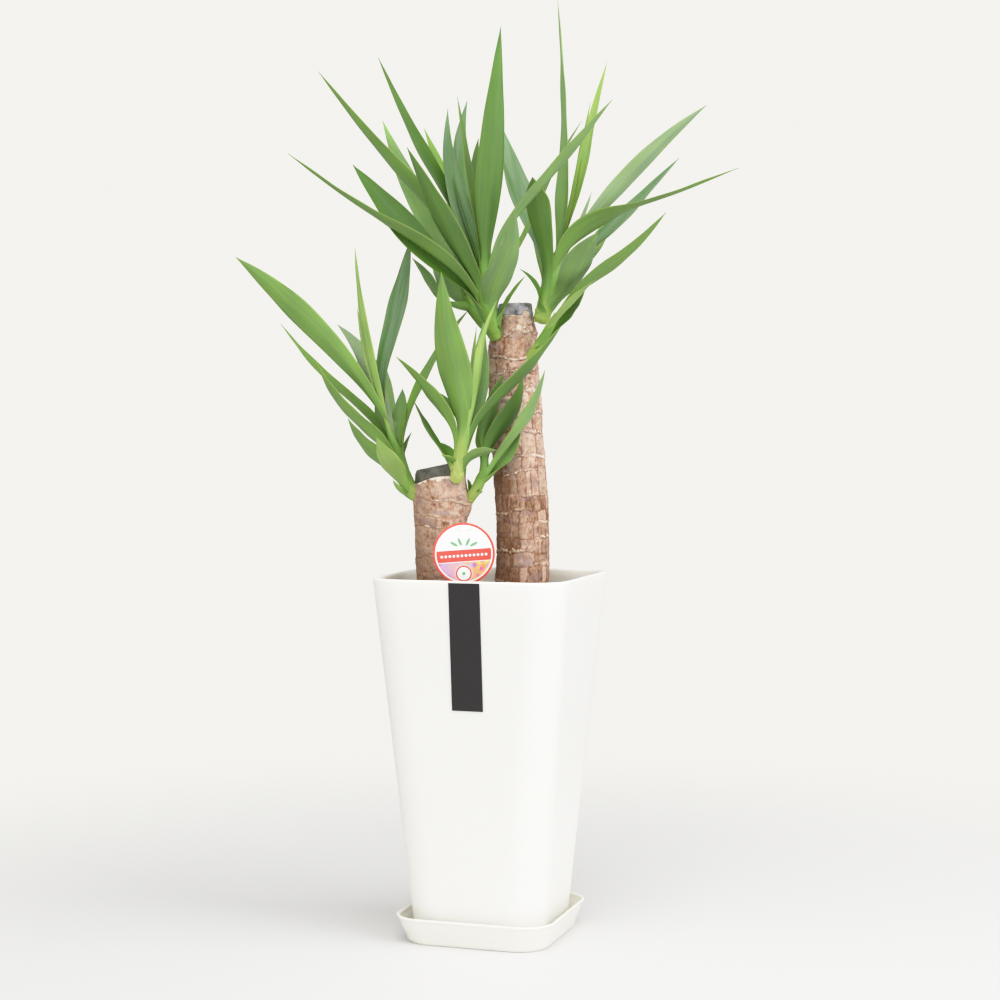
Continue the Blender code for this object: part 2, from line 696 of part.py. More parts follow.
def leaf_frame(rib, face, turn):
    """The blade's side and upward directions along the rib, turning from the clasp to its face."""
    along = unit(np.gradient(rib, axis=0))
    line = rib[-1] - rib[0]
    outward = unit(np.array([line[0], line[1], 0]))
    clasp = unit(np.cross(np.cross(along, outward * -1), along))
    front = unit(np.array([0, -1, 0]) - along * (along @ np.array([0, -1, 0]))[:, None])
    sky = np.cross(along, front) * (1 if line[0] < 0 else -1)
    start = math.atan2((clasp[0] * sky[0]).sum(), (clasp[0] * front[0]).sum())
    goal = math.radians(face)
    start += 2 * math.pi * round((goal - start) / (2 * math.pi))
    share = np.linspace(0, 1, len(rib))
    roll = start + (goal - start) * smooth_step(share / LEAF_CLASP)
    roll += math.radians(turn) * smooth_step((share - LEAF_TWIST[0]) / (LEAF_TWIST[1] - LEAF_TWIST[0]))
    above = front * np.cos(roll)[:, None] + sky * np.sin(roll)[:, None]
    return np.cross(along, above), above


def make_leaf(shoot, leaf, name):
    """A channelled blade: each row has its left edge, rib and right edge, on top and below."""
    foot = np.array(shoot["stem"][1], float)
    length = np.linalg.norm(np.array(leaf[1:4]) - foot)
    share = np.linspace(0, 1, max(5, 1 + round(length / LEAF_ROW_SPACING)))
    rib = leaf_rib(shoot, leaf, share)
    width, belly, face, turn = leaf[6:]
    side, above = leaf_frame(rib, face, turn)
    half = leaf_width(share, width, belly)[:, None] / 2
    channel = CHANNEL_AT_BASE + (CHANNEL_AT_TIP - CHANNEL_AT_BASE) * smooth_step(share / 0.6)
    lift = above * channel[:, None] * 2 * half
    left = rib - side * half + lift
    right = rib + side * half + lift
    rib_half = above * LEAF_RIB_THICKNESS / 2
    edge_half = above * LEAF_EDGE_THICKNESS / 2
    rows = np.stack(
        [left + edge_half, rib + rib_half, right + edge_half, right - edge_half, rib - rib_half, left - edge_half],
        axis=1,
    )
    return add_object(name, from_plant(rows.reshape(-1, 3)), leaf_faces(len(share)), "leaf")


def leaf_faces(rows):
    """Triangles along the blade, split alike on its upper and lower faces, and its two ends."""
    faces = [(0, 4, 1), (0, 5, 4), (1, 3, 2), (1, 4, 3)]
    for row in range(rows - 1):
        low = row * 6
        high = low + 6
        for column in range(6):
            after = (column + 1) % 6
            corners = (low + column, low + after, high + after, high + column)
            if column < 3:
                faces += [(corners[0], corners[1], corners[3]), (corners[1], corners[2], corners[3])]
            else:
                faces += [(corners[0], corners[1], corners[2]), (corners[0], corners[2], corners[3])]
    last = (rows - 1) * 6
    faces += [tuple(last + corner for corner in reversed(face)) for face in faces[:4]]
    return faces


def make_shoot(name):
    """A shoot: its stem and leaves fused, and cut clear of the cane that it grows from."""
    shoot = SHOOTS[name]
    stem = make_stem(shoot, name)
    leaves = [
        make_leaf(shoot, leaf, f"{name}_leaf_{index}") for index, leaf in enumerate(shoot["leaves"])
    ]
    fuse(stem, leaves)
    cane = CANES["tall" if "tall" in name else "short"]
    cut(stem, [make_cane_envelope(cane)])
    return stem


# Label and band


def stake_slab(name, extra, finish):
    """The label's flat stake, from its foot in the soil to the card, larger by extra all round."""
    right, away, up = LABEL_CENTRE
    half = STAKE_WIDTH / 2 + extra
    near = away - LABEL_THICKNESS / 2 + STAKE_RECESS - extra
    far = near + STAKE_THICKNESS + 2 * extra
    rings = []
    for height, reach in ((STAKE_FOOT - extra, half * 0.35), (STAKE_FOOT + 12, half), (up, half)):
        corners = [
            (right - reach, near, height),
            (right + reach, near, height),
            (right + reach, far, height),
            (right - reach, far, height),
        ]
        rings.append(from_plant(corners))
    return loft(name, rings, finish)


def make_label():
    """A round card, upright and facing the plant's front, fused to its stake."""
    right, away, up = LABEL_CENTRE
    angle = np.linspace(0, 2 * math.pi, LABEL_SIDES, endpoint=False)
    rings = []
    for depth in (away + LABEL_THICKNESS / 2, away - LABEL_THICKNESS / 2):
        ring = [
            right + LABEL_RADIUS * np.cos(angle),
            np.full_like(angle, depth),
            up + LABEL_RADIUS * np.sin(angle),
        ]
        rings.append(from_plant(np.stack(ring, axis=1)))
    label = loft("plant_label", rings, "card")
    fuse(label, [stake_slab("stake", 0, "card")])
    return label


def make_band():
    """A strip of card that lies on the planter's sloping front face."""
    slope = (pot_side(BAND_TOP) - pot_side(BAND_TOP - BAND_LENGTH)) / 2 / BAND_LENGTH
    down = unit(np.array([0, slope, -1]))
    out = np.array([0, down[2], -down[1]])
    top = np.array([BAND_CENTRE_X, -pot_side(BAND_TOP) / 2, BAND_TOP])
    half = np.array([BAND_WIDTH / 2, 0, 0])
    rings = []
    for depth in (GAP + BAND_THICKNESS, GAP):
        shift = out * depth
        corners = [top - half, top + half, top + half + down * BAND_LENGTH, top - half + down * BAND_LENGTH]
        rings.append(np.array(corners) + shift)
    return loft("front_band", rings, "band")


def main():
    clear_scene()
    make_saucer()
    make_pot()
    make_soil()
    for name in CANES:
        make_cane(name)
        make_seal(name)
    for name in SHOOTS:
        make_shoot(name)
    make_label()
    make_band()


if __name__ == "__main__":
    main()
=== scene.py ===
import math
from functools import partial

import bpy
import numpy as np
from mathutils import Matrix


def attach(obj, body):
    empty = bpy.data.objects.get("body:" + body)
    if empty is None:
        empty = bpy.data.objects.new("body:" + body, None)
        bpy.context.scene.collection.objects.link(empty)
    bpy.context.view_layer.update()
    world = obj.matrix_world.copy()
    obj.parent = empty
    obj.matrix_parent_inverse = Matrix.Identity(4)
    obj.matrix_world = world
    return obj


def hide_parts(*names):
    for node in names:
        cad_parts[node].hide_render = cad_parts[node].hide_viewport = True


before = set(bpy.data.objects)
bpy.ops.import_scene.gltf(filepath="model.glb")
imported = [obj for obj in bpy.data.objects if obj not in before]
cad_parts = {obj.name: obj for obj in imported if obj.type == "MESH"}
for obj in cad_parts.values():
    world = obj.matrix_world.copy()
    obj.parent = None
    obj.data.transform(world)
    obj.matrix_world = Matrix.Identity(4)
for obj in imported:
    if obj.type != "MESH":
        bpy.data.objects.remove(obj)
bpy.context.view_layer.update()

# Potted yucca: the finish of the planter, saucer, soil, canes, leaves, label and band.
# Points are worked out in millimetres and stored in metres. The plant's points are
# (right, away, up), seen from the plant's front, and turned into the part's frame at the end.

mm = 0.001
gap = 0.3  # between pieces that touch
plantTurn = math.radians(18)
draw = np.random.default_rng(7)


# Shared by every piece

def linear(code):  # an sRGB hex colour in linear light, by the sRGB curve
    parts = np.array([int(code[place:place + 2], 16) for place in (1, 3, 5)]) / 255
    curved = ((parts + 0.055) / 1.055) ** 2.4
    return (*np.where(parts <= 0.04045, parts / 12.92, curved), 1)


def newMaterial(name, **values):
    # the material, its Principled shader with its own values, and a function that adds a node to it
    made = bpy.data.materials.new(name)
    made.use_nodes = True
    shader = setNode(made.node_tree.nodes["Principled BSDF"], **values)
    return made, shader, partial(addNode, made.node_tree)


def addNode(tree, kind, *inputs, **named):
    return setNode(tree.nodes.new("ShaderNode" + kind), *inputs, **named)


def setNode(node, *inputs, stops=(), **named):
    # inputs come in order or by their capitalised names, and the other names are the node's settings;
    # an input is a value, an output, or a node whose first output feeds it, and None leaves it alone;
    # stops are a ramp's (place, colour) pairs
    for key, value in named.items():
        if key[0].islower():
            setattr(node, key, value)
    capitals = {key.replace("_", " "): value for key, value in named.items() if key[0].isupper()}
    for key, value in [*enumerate(inputs), *capitals.items()]:
        if isinstance(value, bpy.types.Node):
            value = value.outputs[0]
        if isinstance(value, bpy.types.NodeSocket):
            node.id_data.links.new(value, node.inputs[key])
        elif value is not None:
            node.inputs[key].default_value = value
    if stops:
        elements = node.color_ramp.elements
        while len(elements) < len(stops):
            elements.new(0.5)
        for element, (place, code) in zip(elements, stops):
            element.position = place
            element.color = linear(code)
    return node


def smoothStep(share):  # 3 s^2 - 2 s^3, held to 0..1
    share = np.clip(share, 0, 1)
    return share * share * (3 - 2 * share)


def blend(first, last, share):  # from one value to another, evenly
    return first + (last - first) * share


def unit(vectors):  # each vector divided by its own length
    return vectors / np.linalg.norm(vectors, axis=-1, keepdims=True)


def turns(count):  # even angles round a circle, in radians
    return np.linspace(0, 2 * math.pi, count, endpoint=False)


def circle(count, radius):  # even points on a level circle round the origin
    around = turns(count)
    return np.stack([np.cos(around), np.sin(around), 0 * around], axis=1) * radius


def ripple(points, size, seed, waves=9):
    # even noise from -1 to 1: a sum of plane waves about one size long, in random directions
    chance = np.random.default_rng(seed)
    ways = unit(chance.normal(size=(waves, points.shape[-1])))
    lengths = size * chance.uniform(0.7, 1.5, waves)
    starts = chance.uniform(0, 2 * math.pi, waves)
    total = np.zeros(points.shape[:-1])
    for way, length, start in zip(ways, lengths, starts):
        total += np.sin(points @ way * 2 * math.pi / length + start)
    return total / math.sqrt(waves * 2)


def turnPlan(x, y, angle):  # points of the plan, turned about the origin
    return x * math.cos(angle) - y * math.sin(angle), x * math.sin(angle) + y * math.cos(angle)


def fromPlant(points):  # (right, away, up) turned about the upright by plantTurn
    right, away, up = np.moveaxis(np.asarray(points, float), -1, 0)
    return np.stack([*turnPlan(right, away, plantTurn), up], axis=-1)


def gridFaces(rows, columns, first):  # quads between neighbouring rings
    row = first + np.arange(rows - 1)[:, None] * columns
    column = np.arange(columns)
    after = (column + 1) % columns
    corners = [row + column, row + after, row + columns + after, row + columns + column]
    return np.stack(corners, axis=-1).reshape(-1, 4)


def fanFaces(rim, pole):  # triangles that close a ring on its pole
    return np.stack([rim, np.roll(rim, -1), np.full_like(rim, pole)], axis=-1)


def addObject(name, data):
    made = bpy.data.objects.new(name, data)
    bpy.context.scene.collection.objects.link(made)
    return made


def addPiece(name, solids, finish, nodes, sharpOver=42):
    # one mesh from solids, each of them rings of points in millimetres, closed on a pole at both ends
    points, faces, marks, first = [], [], {}, 0
    for solid in solids:
        rings = solid["rings"]
        rows, columns = rings.shape[:2]
        size = rows * columns
        rim = first + np.arange(columns)
        ends = rings[[0, -1]].mean(axis=1)
        points += [rings.reshape(-1, 3), ends]
        faces += gridFaces(rows, columns, first).tolist()
        faces += fanFaces(rim[::-1], first + size).tolist()
        faces += fanFaces(rim + size - columns, first + size + 1).tolist()
        for key, value in solid.get("marks", {}).items():  # a number, or one or more for each point
            value = np.asarray(value, float)
            value = np.broadcast_to(value, (rows, columns) + value.shape[2:])
            value = value.reshape(rows, columns, -1)
            ends = value[[0, -1]].mean(axis=1)
            marks.setdefault(key, []).append(np.concatenate([value.reshape(size, -1), ends]))
        first += size + 2
    mesh = bpy.data.meshes.new(name)
    mesh.from_pydata(np.concatenate(points) * mm, [], faces)
    for key, parts in marks.items():
        values = np.concatenate(parts)
        kind, field = ("FLOAT", "value") if values.shape[1] == 1 else ("FLOAT_VECTOR", "vector")
        mesh.attributes.new(key, kind, "POINT").data.foreach_set(field, values.ravel())
    mesh.materials.append(finish)
    mesh.shade_smooth()
    mesh.set_sharp_from_angle(angle=math.radians(sharpOver))
    piece = addObject(name, mesh)
    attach(piece, "root")
    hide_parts(*nodes)
    return piece


def squareRings(sides, corners, heights, arcPoints=17):
    # rings round a square with round corners: an arc of each corner, then a straight to the next
    arc = np.linspace(0, math.pi / 2, arcPoints)
    straight = np.array([0.04, 0.15, 0.35, 0.65, 0.85, 0.96])[:, None]
    centres, ways = [], []
    for quarter in range(4):
        angle = arc + quarter * math.pi / 2
        middle = (quarter + 0.5) * math.pi / 2
        here = np.array([[math.cos(middle), math.sin(middle)]]) * math.sqrt(2)
        there = np.array([[-here[0, 1], here[0, 0]]])
        way = np.stack([np.cos(angle), np.sin(angle)], axis=1)
        centres += [np.repeat(here, arcPoints, axis=0), blend(here, there, straight)]
        ways += [way, np.repeat(way[-1:], len(straight), axis=0)]
    sides, corners, heights = (
        np.asarray(value, float)[:, None, None] for value in (sides, corners, heights)
    )
    flat = np.concatenate(centres) * (sides / 2 - corners) + np.concatenate(ways) * corners
    return np.concatenate([flat, np.broadcast_to(heights, flat.shape[:2] + (1,))], axis=2)


# Camera, light and floor

camera = {
    "distance": 2042.1,  # from the upright through the origin, along the level view line
    "height": 515,
    "aside": 8.3,
    "turn": 18,  # degrees round from the planter's front face
    "tip": 2.208,  # degrees down
    "lens": 73.36,
}

lights = {
    # name: (azimuth round from the view line, elevation, distance m, size m, watts, colour)
    "window": (64, 26, 2.2, 1.5, 39, "#ffffff"),
    "front": (-14, 12, 2.6, 1.8, 31, "#ffffff"),
    "top": (0, 68, 2.2, 1.6, 36, "#ffffff"),
}
lightsAim = (0, 0, 0.45)
room = {"seen": "#f4f2eb", "light": "#ffffff", "strength": 0.68, "glow": 1.25}
tones = {"white": 1.7, "shoulder": ((0.3, 0.3), (0.6, 0.58), (0.85, 0.775), (1.1, 0.89), (1.35, 0.955))}
floorLook = {"colour": "#d9d8d6", "reach": 3.2, "fade": (0.3, 1.15), "sides": 96}


def makeCamera():
    # the camera stands back from the plant along its level view line and looks down by its tip
    turn = math.radians(camera["turn"])
    data = bpy.data.cameras.new("camera")
    data.lens = camera["lens"]
    data.sensor_width = 36
    data.clip_start = 0.05
    made = addObject("camera", data)
    made.location = (
        (camera["distance"] * math.sin(turn) + camera["aside"] * math.cos(turn)) * mm,
        (-camera["distance"] * math.cos(turn) + camera["aside"] * math.sin(turn)) * mm,
        camera["height"] * mm,
    )
    made.rotation_euler = (math.radians(90 - camera["tip"]), 0, turn)
    bpy.context.scene.camera = made


def makeLights():
    # soft boxes that face the middle of the plant, placed on a sphere round it
    for name, (azimuth, elevation, distance, size, watts, colour) in lights.items():
        around = math.radians(azimuth + camera["turn"])
        rise = math.radians(elevation)
        way = np.array([math.sin(around), -math.cos(around), math.tan(rise)]) * math.cos(rise)
        data = bpy.data.lights.new(name, "AREA")
        data.shape = "SQUARE"
        data.size = size
        data.energy = watts
        data.color = linear(colour)[:3]
        made = addObject(name, data)
        made.location = np.array(lightsAim) + way * distance
        made.rotation_euler = (math.pi / 2 - rise, 0, around)


def makeRoom():
    # the room's even light, with a pale wall where the camera looks past the floor
    world = bpy.data.worlds.new("room")
    world.use_nodes = True
    bpy.context.scene.world = world
    tree = world.node_tree
    tree.nodes.clear()
    light = addNode(tree, "Background", linear(room["light"]), room["strength"])
    seen = addNode(tree, "Background", linear(room["seen"]), room["glow"])
    cameraRay = addNode(tree, "LightPath").outputs["Is Camera Ray"]
    addNode(tree, "OutputWorld", addNode(tree, "MixShader", cameraRay, light, seen))


def setTones():
    # an exposure for pale things: plain sRGB with a soft shoulder, so white plastic keeps its shading
    view = bpy.context.scene.view_settings
    view.view_transform = "Standard"
    view.use_curve_mapping = True
    mapping = view.curve_mapping
    mapping.white_level = (tones["white"],) * 3
    for light, shown in tones["shoulder"]:
        mapping.curves[3].points.new(light / tones["white"], shown)
    mapping.update()


def makeFloor():
    # painted board: a disc that thins out to the wall's tone with its distance from the middle
    finish, shader, add = newMaterial(
        "paintedBoard", Base_Color=linear(floorLook["colour"]), Roughness=0.55, Specular_IOR_Level=0.25,
    )
    reach = add("VectorMath", add("TexCoord").outputs["Object"], operation="LENGTH").outputs["Value"]
    fade = add("MapRange", reach, *floorLook["fade"], interpolation_type="SMOOTHSTEP")
    both = add("MixShader", fade, shader, add("BsdfTransparent"))
    setNode(finish.node_tree.nodes["Material Output"], both)
    mesh = bpy.data.meshes.new("floor")
    mesh.from_pydata(circle(floorLook["sides"], floorLook["reach"]), [], [list(range(floorLook["sides"]))])
    mesh.materials.append(finish)
    made = addObject("floor", mesh)


makeCamera()
makeLights()
makeRoom()
setTones()
makeFloor()
print("camera, light and floor are placed")


# Planter and saucer

planter = {
    "rimSide": 200, "footSide": 135.5, "rimHeight": 362, "base": 3.3, "corner": 35,
    "wall": 3, "floor": 4, "lip": 4.4, "lipDepth": 9, "footWidth": 9, "recess": 1.5,
    "drainRadius": 6, "drainOffset": 30, "drainSides": 32,
    "colour": "#f3f1ea", "shade": "#f0eee5",
}
saucer = {
    "rimSide": 164, "footSide": 146, "height": 27, "corner": 31, "wall": 2.4, "floor": 3, "lip": 3.4,
    # the saucer's white is the planter's plastic made darker: a shaded copy of one material, painted shade
    "colour": "#e9e7de", "shade": "#e6e4d9",
}


def planterSide(height):  # the outer side widens evenly from foot to rim
    share = (height - planter["base"]) / (planter["rimHeight"] - planter["base"])
    return blend(planter["footSide"], planter["rimSide"], share)


def saucerSide(height):  # the outer side widens evenly from foot to lip
    return blend(saucer["footSide"], saucer["rimSide"], height / saucer["height"])


def arcOf(radius, start, stop, count):  # an arc's inset and rise, from its start to its stop in degrees
    angle = np.radians(np.linspace(start, stop, count))
    return radius * (1 - np.cos(angle)), radius * np.sin(angle)


def makeMouldedPlastic(name, look):
    # injection-moulded ABS: warm white, soft gloss, with the faint orange peel of a mould's face
    finish, shader, add = newMaterial(
        "mouldedAbs_" + name, IOR=1.53, Coat_Weight=0.12, Coat_Roughness=0.12, Subsurface_Weight=0.6,
        Subsurface_Radius=(1.0, 0.95, 0.75), Subsurface_Scale=0.004,
    )
    place = add("TexCoord").outputs["Object"]
    cloud = add("TexNoise", place, Scale=9.0, Detail=3.0)
    peel = add("TexNoise", place, Scale=420.0, Detail=2.0)
    setNode(
        shader,
        Base_Color=add("ValToRGB", cloud, stops=[(0.3, look["shade"]), (0.7, look["colour"])]),
        Roughness=add("MapRange", cloud, To_Min=0.27, To_Max=0.35),
        Normal=add("Bump", Height=peel, Strength=0.05, Distance=0.0004),
    )
    return finish


def makePlanter(finish):
    # a profile of insets from the sloping outer side: foot, outer wall, round lip, inner wall and floor
    base, rim, lipRound = planter["base"], planter["rimHeight"], planter["lip"] / 2
    footIn, footUp = arcOf(2, 90, 0, 6)
    lipIn, lipUp = arcOf(lipRound, 0, 180, 13)
    walls = np.linspace(base + 2, rim - lipRound, 26)
    innerTop = rim - planter["lipDepth"]
    inner = np.linspace(innerTop - 3, base + planter["floor"] + 4, 18)
    inset = np.concatenate([
        [planter["footWidth"] + 6, planter["footWidth"], planter["footWidth"]],
        footIn, np.zeros(len(walls) - 2), lipIn, [planter["lip"]],
        np.full(len(inner), planter["wall"]), [planter["wall"] + 1.2, planter["wall"] + 4],
    ])
    height = np.concatenate([
        [base + planter["recess"], base + planter["recess"], base],
        base + 2 - footUp, walls[1:-1], rim - lipRound + lipUp, [innerTop],
        inner, base + planter["floor"] + np.array([1.2, 0]),
    ])
    rings = squareRings(planterSide(height) - 2 * inset, planter["corner"] - inset, height)
    piece = addPiece("planter", [{"rings": rings}], finish, ["pot"], 50)
    drillDrains(piece)


def drillDrains(piece):
    # four round holes through the floor, each cut by a plain rod
    sides = planter["drainSides"]
    disc = circle(sides, planter["drainRadius"])
    caps = [list(range(sides - 1, -1, -1)), list(range(sides, 2 * sides))]
    levels = (planter["base"] - 1, planter["base"] + planter["floor"] + 1)
    rods = []
    for x in (-planter["drainOffset"], planter["drainOffset"]):
        for y in (-planter["drainOffset"], planter["drainOffset"]):
            ends = [disc + (x, y, level) for level in levels]
            mesh = bpy.data.meshes.new("rod")
            mesh.from_pydata(np.concatenate(ends) * mm, [], gridFaces(2, sides, 0).tolist() + caps)
            rod = addObject("rod", mesh)
            hole = piece.modifiers.new("hole", "BOOLEAN")
            hole.operation = "DIFFERENCE"
            hole.object = rod
            rods.append(rod)
    bpy.context.view_layer.update()
    solid = piece.evaluated_get(bpy.context.evaluated_depsgraph_get())
    drilled = bpy.data.meshes.new_from_object(solid)
    piece.modifiers.clear()
    piece.data = drilled
    for rod in rods:
        bpy.data.objects.remove(rod)


def makeSaucer(finish):
    # a profile of insets from the flaring outer side: foot, outer wall, round lip, inner wall and floor
    lipRound = saucer["lip"] / 2
    lipLow = saucer["height"] - lipRound
    footIn, footUp = arcOf(1.2, 90, 0, 5)
    lipIn, lipUp = arcOf(lipRound, 0, 180, 15)
    walls = np.linspace(1.2, lipLow - lipRound, 8)
    step = saucer["lip"] - saucer["wall"]
    inner = np.linspace(lipLow - 2, saucer["floor"] + 2.5, 8)
    innerIn = np.full(len(inner), saucer["wall"])
    inset = np.concatenate([footIn, step * smoothStep((walls[1:] - 1.2) / 6), lipIn, innerIn, [3.2, 5.4]])
    height = np.concatenate([
        1.2 - footUp, walls[1:], lipLow + lipUp, inner, saucer["floor"] + np.array([0.8, 0]),
    ])
    rings = squareRings(saucerSide(height) - 2 * inset, saucer["corner"] - inset, height)
    addPiece("saucer_dish", [{"rings": rings}], finish, ["saucer"], 50)


makePlanter(makeMouldedPlastic("planter", planter))
makeSaucer(makeMouldedPlastic("saucer", saucer))
print("planter and saucer are made")


# Soil

soil = {
    "height": 333, "dome": 5, "domeReach": 95, "lump": 2.2, "crumb": 1.1, "rows": 90,
    "chips": 460, "chipReach": 88, "chipSize": (2.2, 6.5),
    "dark": "#2b1e15", "light": "#6a4c36", "chip": "#8a6647",
}


def soilHeight(x, y):  # a low dome with lumps, from two products of sines
    reach = np.clip(1 - (x**2 + y**2) / soil["domeReach"] ** 2, 0, 1)
    lumps = np.sin(x * 0.14 + 1) * np.sin(y * 0.115) + 0.6 * np.sin(x * 0.26) * np.sin(y * 0.235 + 2)
    return soil["height"] + soil["dome"] * reach + soil["lump"] * lumps


def makePottingMix():
    # potting mix: dark damp peat with paler crumbs of bark, quite dull
    finish, shader, add = newMaterial("pottingMix", Roughness=0.93, Specular_IOR_Level=0.2)
    place = add("TexCoord").outputs["Object"]
    crumb = add("TexNoise", place, Scale=260.0, Detail=6.0)
    grit = add("TexVoronoi", place, Scale=330.0)
    paleness = add("Attribute", attribute_name="paleness").outputs["Fac"]
    mixed = add("Math", crumb, paleness, operation="ADD")
    stops = [(0.32, soil["dark"]), (0.62, soil["light"]), (1.0, soil["chip"])]
    bump = add("Bump", Height=grit, Strength=0.7, Distance=0.0015)
    setNode(shader, Base_Color=add("ValToRGB", mixed, stops=stops), Normal=bump)
    return finish


def makeSoil(finish):
    # one solid to the planter's wall, its top ruffled by crumbs, with chips of bark lying on it
    floor = planter["base"] + planter["floor"] + gap
    slack = 2 * (planter["wall"] + gap)
    corner = planter["corner"] - planter["wall"] - gap
    below = np.array([floor, floor + 4, soil["height"] - 7])
    sides = planterSide(below) - slack - np.array([8, 1, 1])
    rings = squareRings(sides, [corner - 4, corner, corner], below)
    share = np.linspace(0.985, 0.01, soil["rows"])[:, None, None]
    top = squareRings([planterSide(soil["height"]) - slack - 1], [corner], [0]) * share
    crumbs = 0.6 * ripple(top[..., :2], 5, 1) + 0.4 * ripple(top[..., :2], 2.2, 2, 14)
    top[..., 2] = soilHeight(top[..., 0], top[..., 1]) + soil["crumb"] * crumbs
    body = {"rings": np.concatenate([rings, top]), "marks": {"paleness": 0}}
    addPiece("potting_mix", [body] + soilChips(), finish, ["soil"])


def soilChips():
    # each chip is a flattened six-sided lump, turned at random and half sunk into the top
    count = soil["chips"]
    places = draw.uniform(-soil["chipReach"], soil["chipReach"], (count, 2))
    sizes = draw.uniform(*soil["chipSize"], count)
    leans = draw.uniform(0, 2 * math.pi, (count, 2))
    paleness = draw.uniform(-0.1, 0.5, count)
    around = turns(6)
    levels = np.array([[-0.3, 0.7], [0.05, 1.0], [0.32, 0.62]])
    chips = []
    for place, size, (spin, lean), pale in zip(places, sizes, leans, paleness):
        rough = draw.uniform(0.75, 1.2, (3, 6))
        x = np.cos(around) * levels[:, 1:] * rough * size * 0.5
        y = np.sin(around) * levels[:, 1:] * rough * size * 0.32
        z = np.broadcast_to(levels[:, :1] * size * 0.45, x.shape) + 0.25 * x * math.sin(lean)
        flat = np.stack(turnPlan(x, y, spin), axis=-1)
        rings = np.concatenate([flat + place, (z + soilHeight(*place) + 0.2 * size)[..., None]], axis=-1)
        chips.append({"rings": rings, "marks": {"paleness": pale}})
    return chips


makeSoil(makePottingMix())
print("soil is made")


# Canes and the seals on their ends

canes = {
    "tall": {
        # (up, right, away, radius) of the spine
        "spine": (
            (205, 27, 17, 25.5), (330, 30, 15, 27), (356, 30.5, 15, 27.2), (382, 31.5, 15, 26.4),
            (421, 31, 15, 26.4), (454, 29, 15, 26.8), (480, 27, 15, 26.4), (507, 25, 15, 25.9),
            (537, 23.5, 15, 26), (567, 22, 15, 25.1), (590, 20.5, 15, 23.6), (605, 22, 15, 20.5),
            (619, 23.5, 15, 17.8), (633.5, 23.5, 15, 16.8),
        ),
        # (degrees round from the right, up, rise) of the swelling under each shoot
        "knobs": ((-133, 590, 2.5), (-15, 604, 3), (-53, 566, 2), (144, 594, 2)),
        # (up, slant, wave) of each leaf scar's line, then the middle, half length, thickness and
        # paleness of the torn strip that lies on it
        "scars": (
            (337, 0.05, 0.8, 6, 10, 1.5, 0.3), (353, -0.04, 1, -10, 12, 2, 0.25),
            (369, 0.03, 1, 15, 10, 3, 0.3), (383, 0.05, 1.2, -9, 15, 3, 0.35),
            (398, -0.04, 1, 15, 8, 2.6, 0.6), (413, -0.08, 1, 16, 8, 2.4, 0.4),
            (424, 0.18, 1.2, -12, 13, 2.4, 0.35), (441, 0.02, 1, 12, 12, 2, 0.35),
            (464, 0.24, 0.8, 2, 14, 1.6, 0.85), (479, -0.07, 1, 13, 15, 2.8, 0.9),
            (504, 0.04, 1.2, 9, 8, 3, 0.85), (520, 0.1, 1.2, 19, 8, 3, 0.85),
            (541, 0.12, 1.2, 11, 12, 3.4, 0.9), (563, 0.24, 1, -1, 16, 2, 0.9),
            (577, -0.06, 1.4, 1, 19, 3, 0.95), (601, 0.02, 3, 5, 13, 4.6, 0.7),
        ),
        # slope slants the dressed end; cracks is the most upright ones that a band of bark can have,
        # and crackShare how many of them it keeps below and above cracksFrom; crazing is the fine
        # cracks' weight, low and high; tornEdge is the pale edge below the wax; plain evens the bark;
        # the brown stain, with the painted shade on the left side, ends at stainTo; droop lowers the
        # wax's rim on the left, or raises it if below 0; in its notch, at (degrees, rise, width in
        # radians), the bark shows higher
        "sealDepth": 13, "slope": 0.02, "cracks": 26, "crackShare": (0.85, 0.28), "cracksFrom": (430, 520),
        "tornEdge": 1.4, "tornTone": 0.35, "plain": 0.0, "crazing": (0.3, 0.75), "rust": 0.5,
        # the tall seal's pale tone is its grey bloom and a painted highlight in one
        "stainTo": 560, "droop": 0, "notch": (-50, 6.5, 0.27), "sealTones": ("#2f2c2b", "#b6b1b6"),
    },
    "short": {
        "spine": (
            (225, -49, -13, 24), (330, -50, -15, 24.6), (361, -50.2, -15, 24.6), (407, -51, -15, 25.2),
            (422, -50.8, -15, 25.7), (436, -50, -15, 26.4), (452, -51, -15, 25.8), (471, -51, -15, 24.2),
        ),
        "knobs": ((180, 430, 2), (-50, 448, 2.5), (-5, 430, 5)),
        "scars": (
            (340, 0.05, 1, -8, 8, 1, 0.3), (361, -0.05, 1.2, 3, 8, 1, 0.3),
            (384, 0.08, 1.2, 9, 10, 1, 0.25), (408, -0.1, 1.2, -12, 4, 1.8, 0.5),
            (421, -0.1, 1.2, -8, 10, 1, 0.15), (436, -0.2, 1, 13, 18, 2.6, 0.6),
        ),
        "sealDepth": 11, "slope": 0.22, "cracks": 9, "crackShare": (0.25, 0.25), "cracksFrom": (380, 440),
        "tornEdge": 3.6, "tornTone": 0.85, "plain": 1.0, "crazing": (0.6, 0.6), "rust": 0.3, "stainTo": 470,
        "droop": -1, "notch": (0, 0, 1), "sealTones": ("#292923", "#625f54"),
    },
}
bark = {
    "columns": 256, "rows": 330, "knobReach": 10, "plateBulge": 0.3, "bandStep": 0.3,
    "crackDepth": 0.6, "crackWidth": 0.75, "crazingWidth": 0.13, "grain": 0.22, "warp": 1.1,
    "dark": "#64442f", "brown": "#8b654c", "tan": "#ae8a72", "rose": "#c3a38f", "beige": "#d2b9a7",
    # the last brown serves the stains and the painted shade on the canes' left side
    "mauve": "#8f7c80", "straw": "#b49263", "cream": "#efe0d0", "crack": "#743f24", "stainAndShade": "#735434",
}
sealWall = 1.5
sealWave = 1.4


def spineAt(cane, up):  # the cane's centre and radius at each height
    rows = np.array(cane["spine"])
    return [np.interp(up, rows[:, 0], rows[:, column]) for column in (1, 2, 3)]


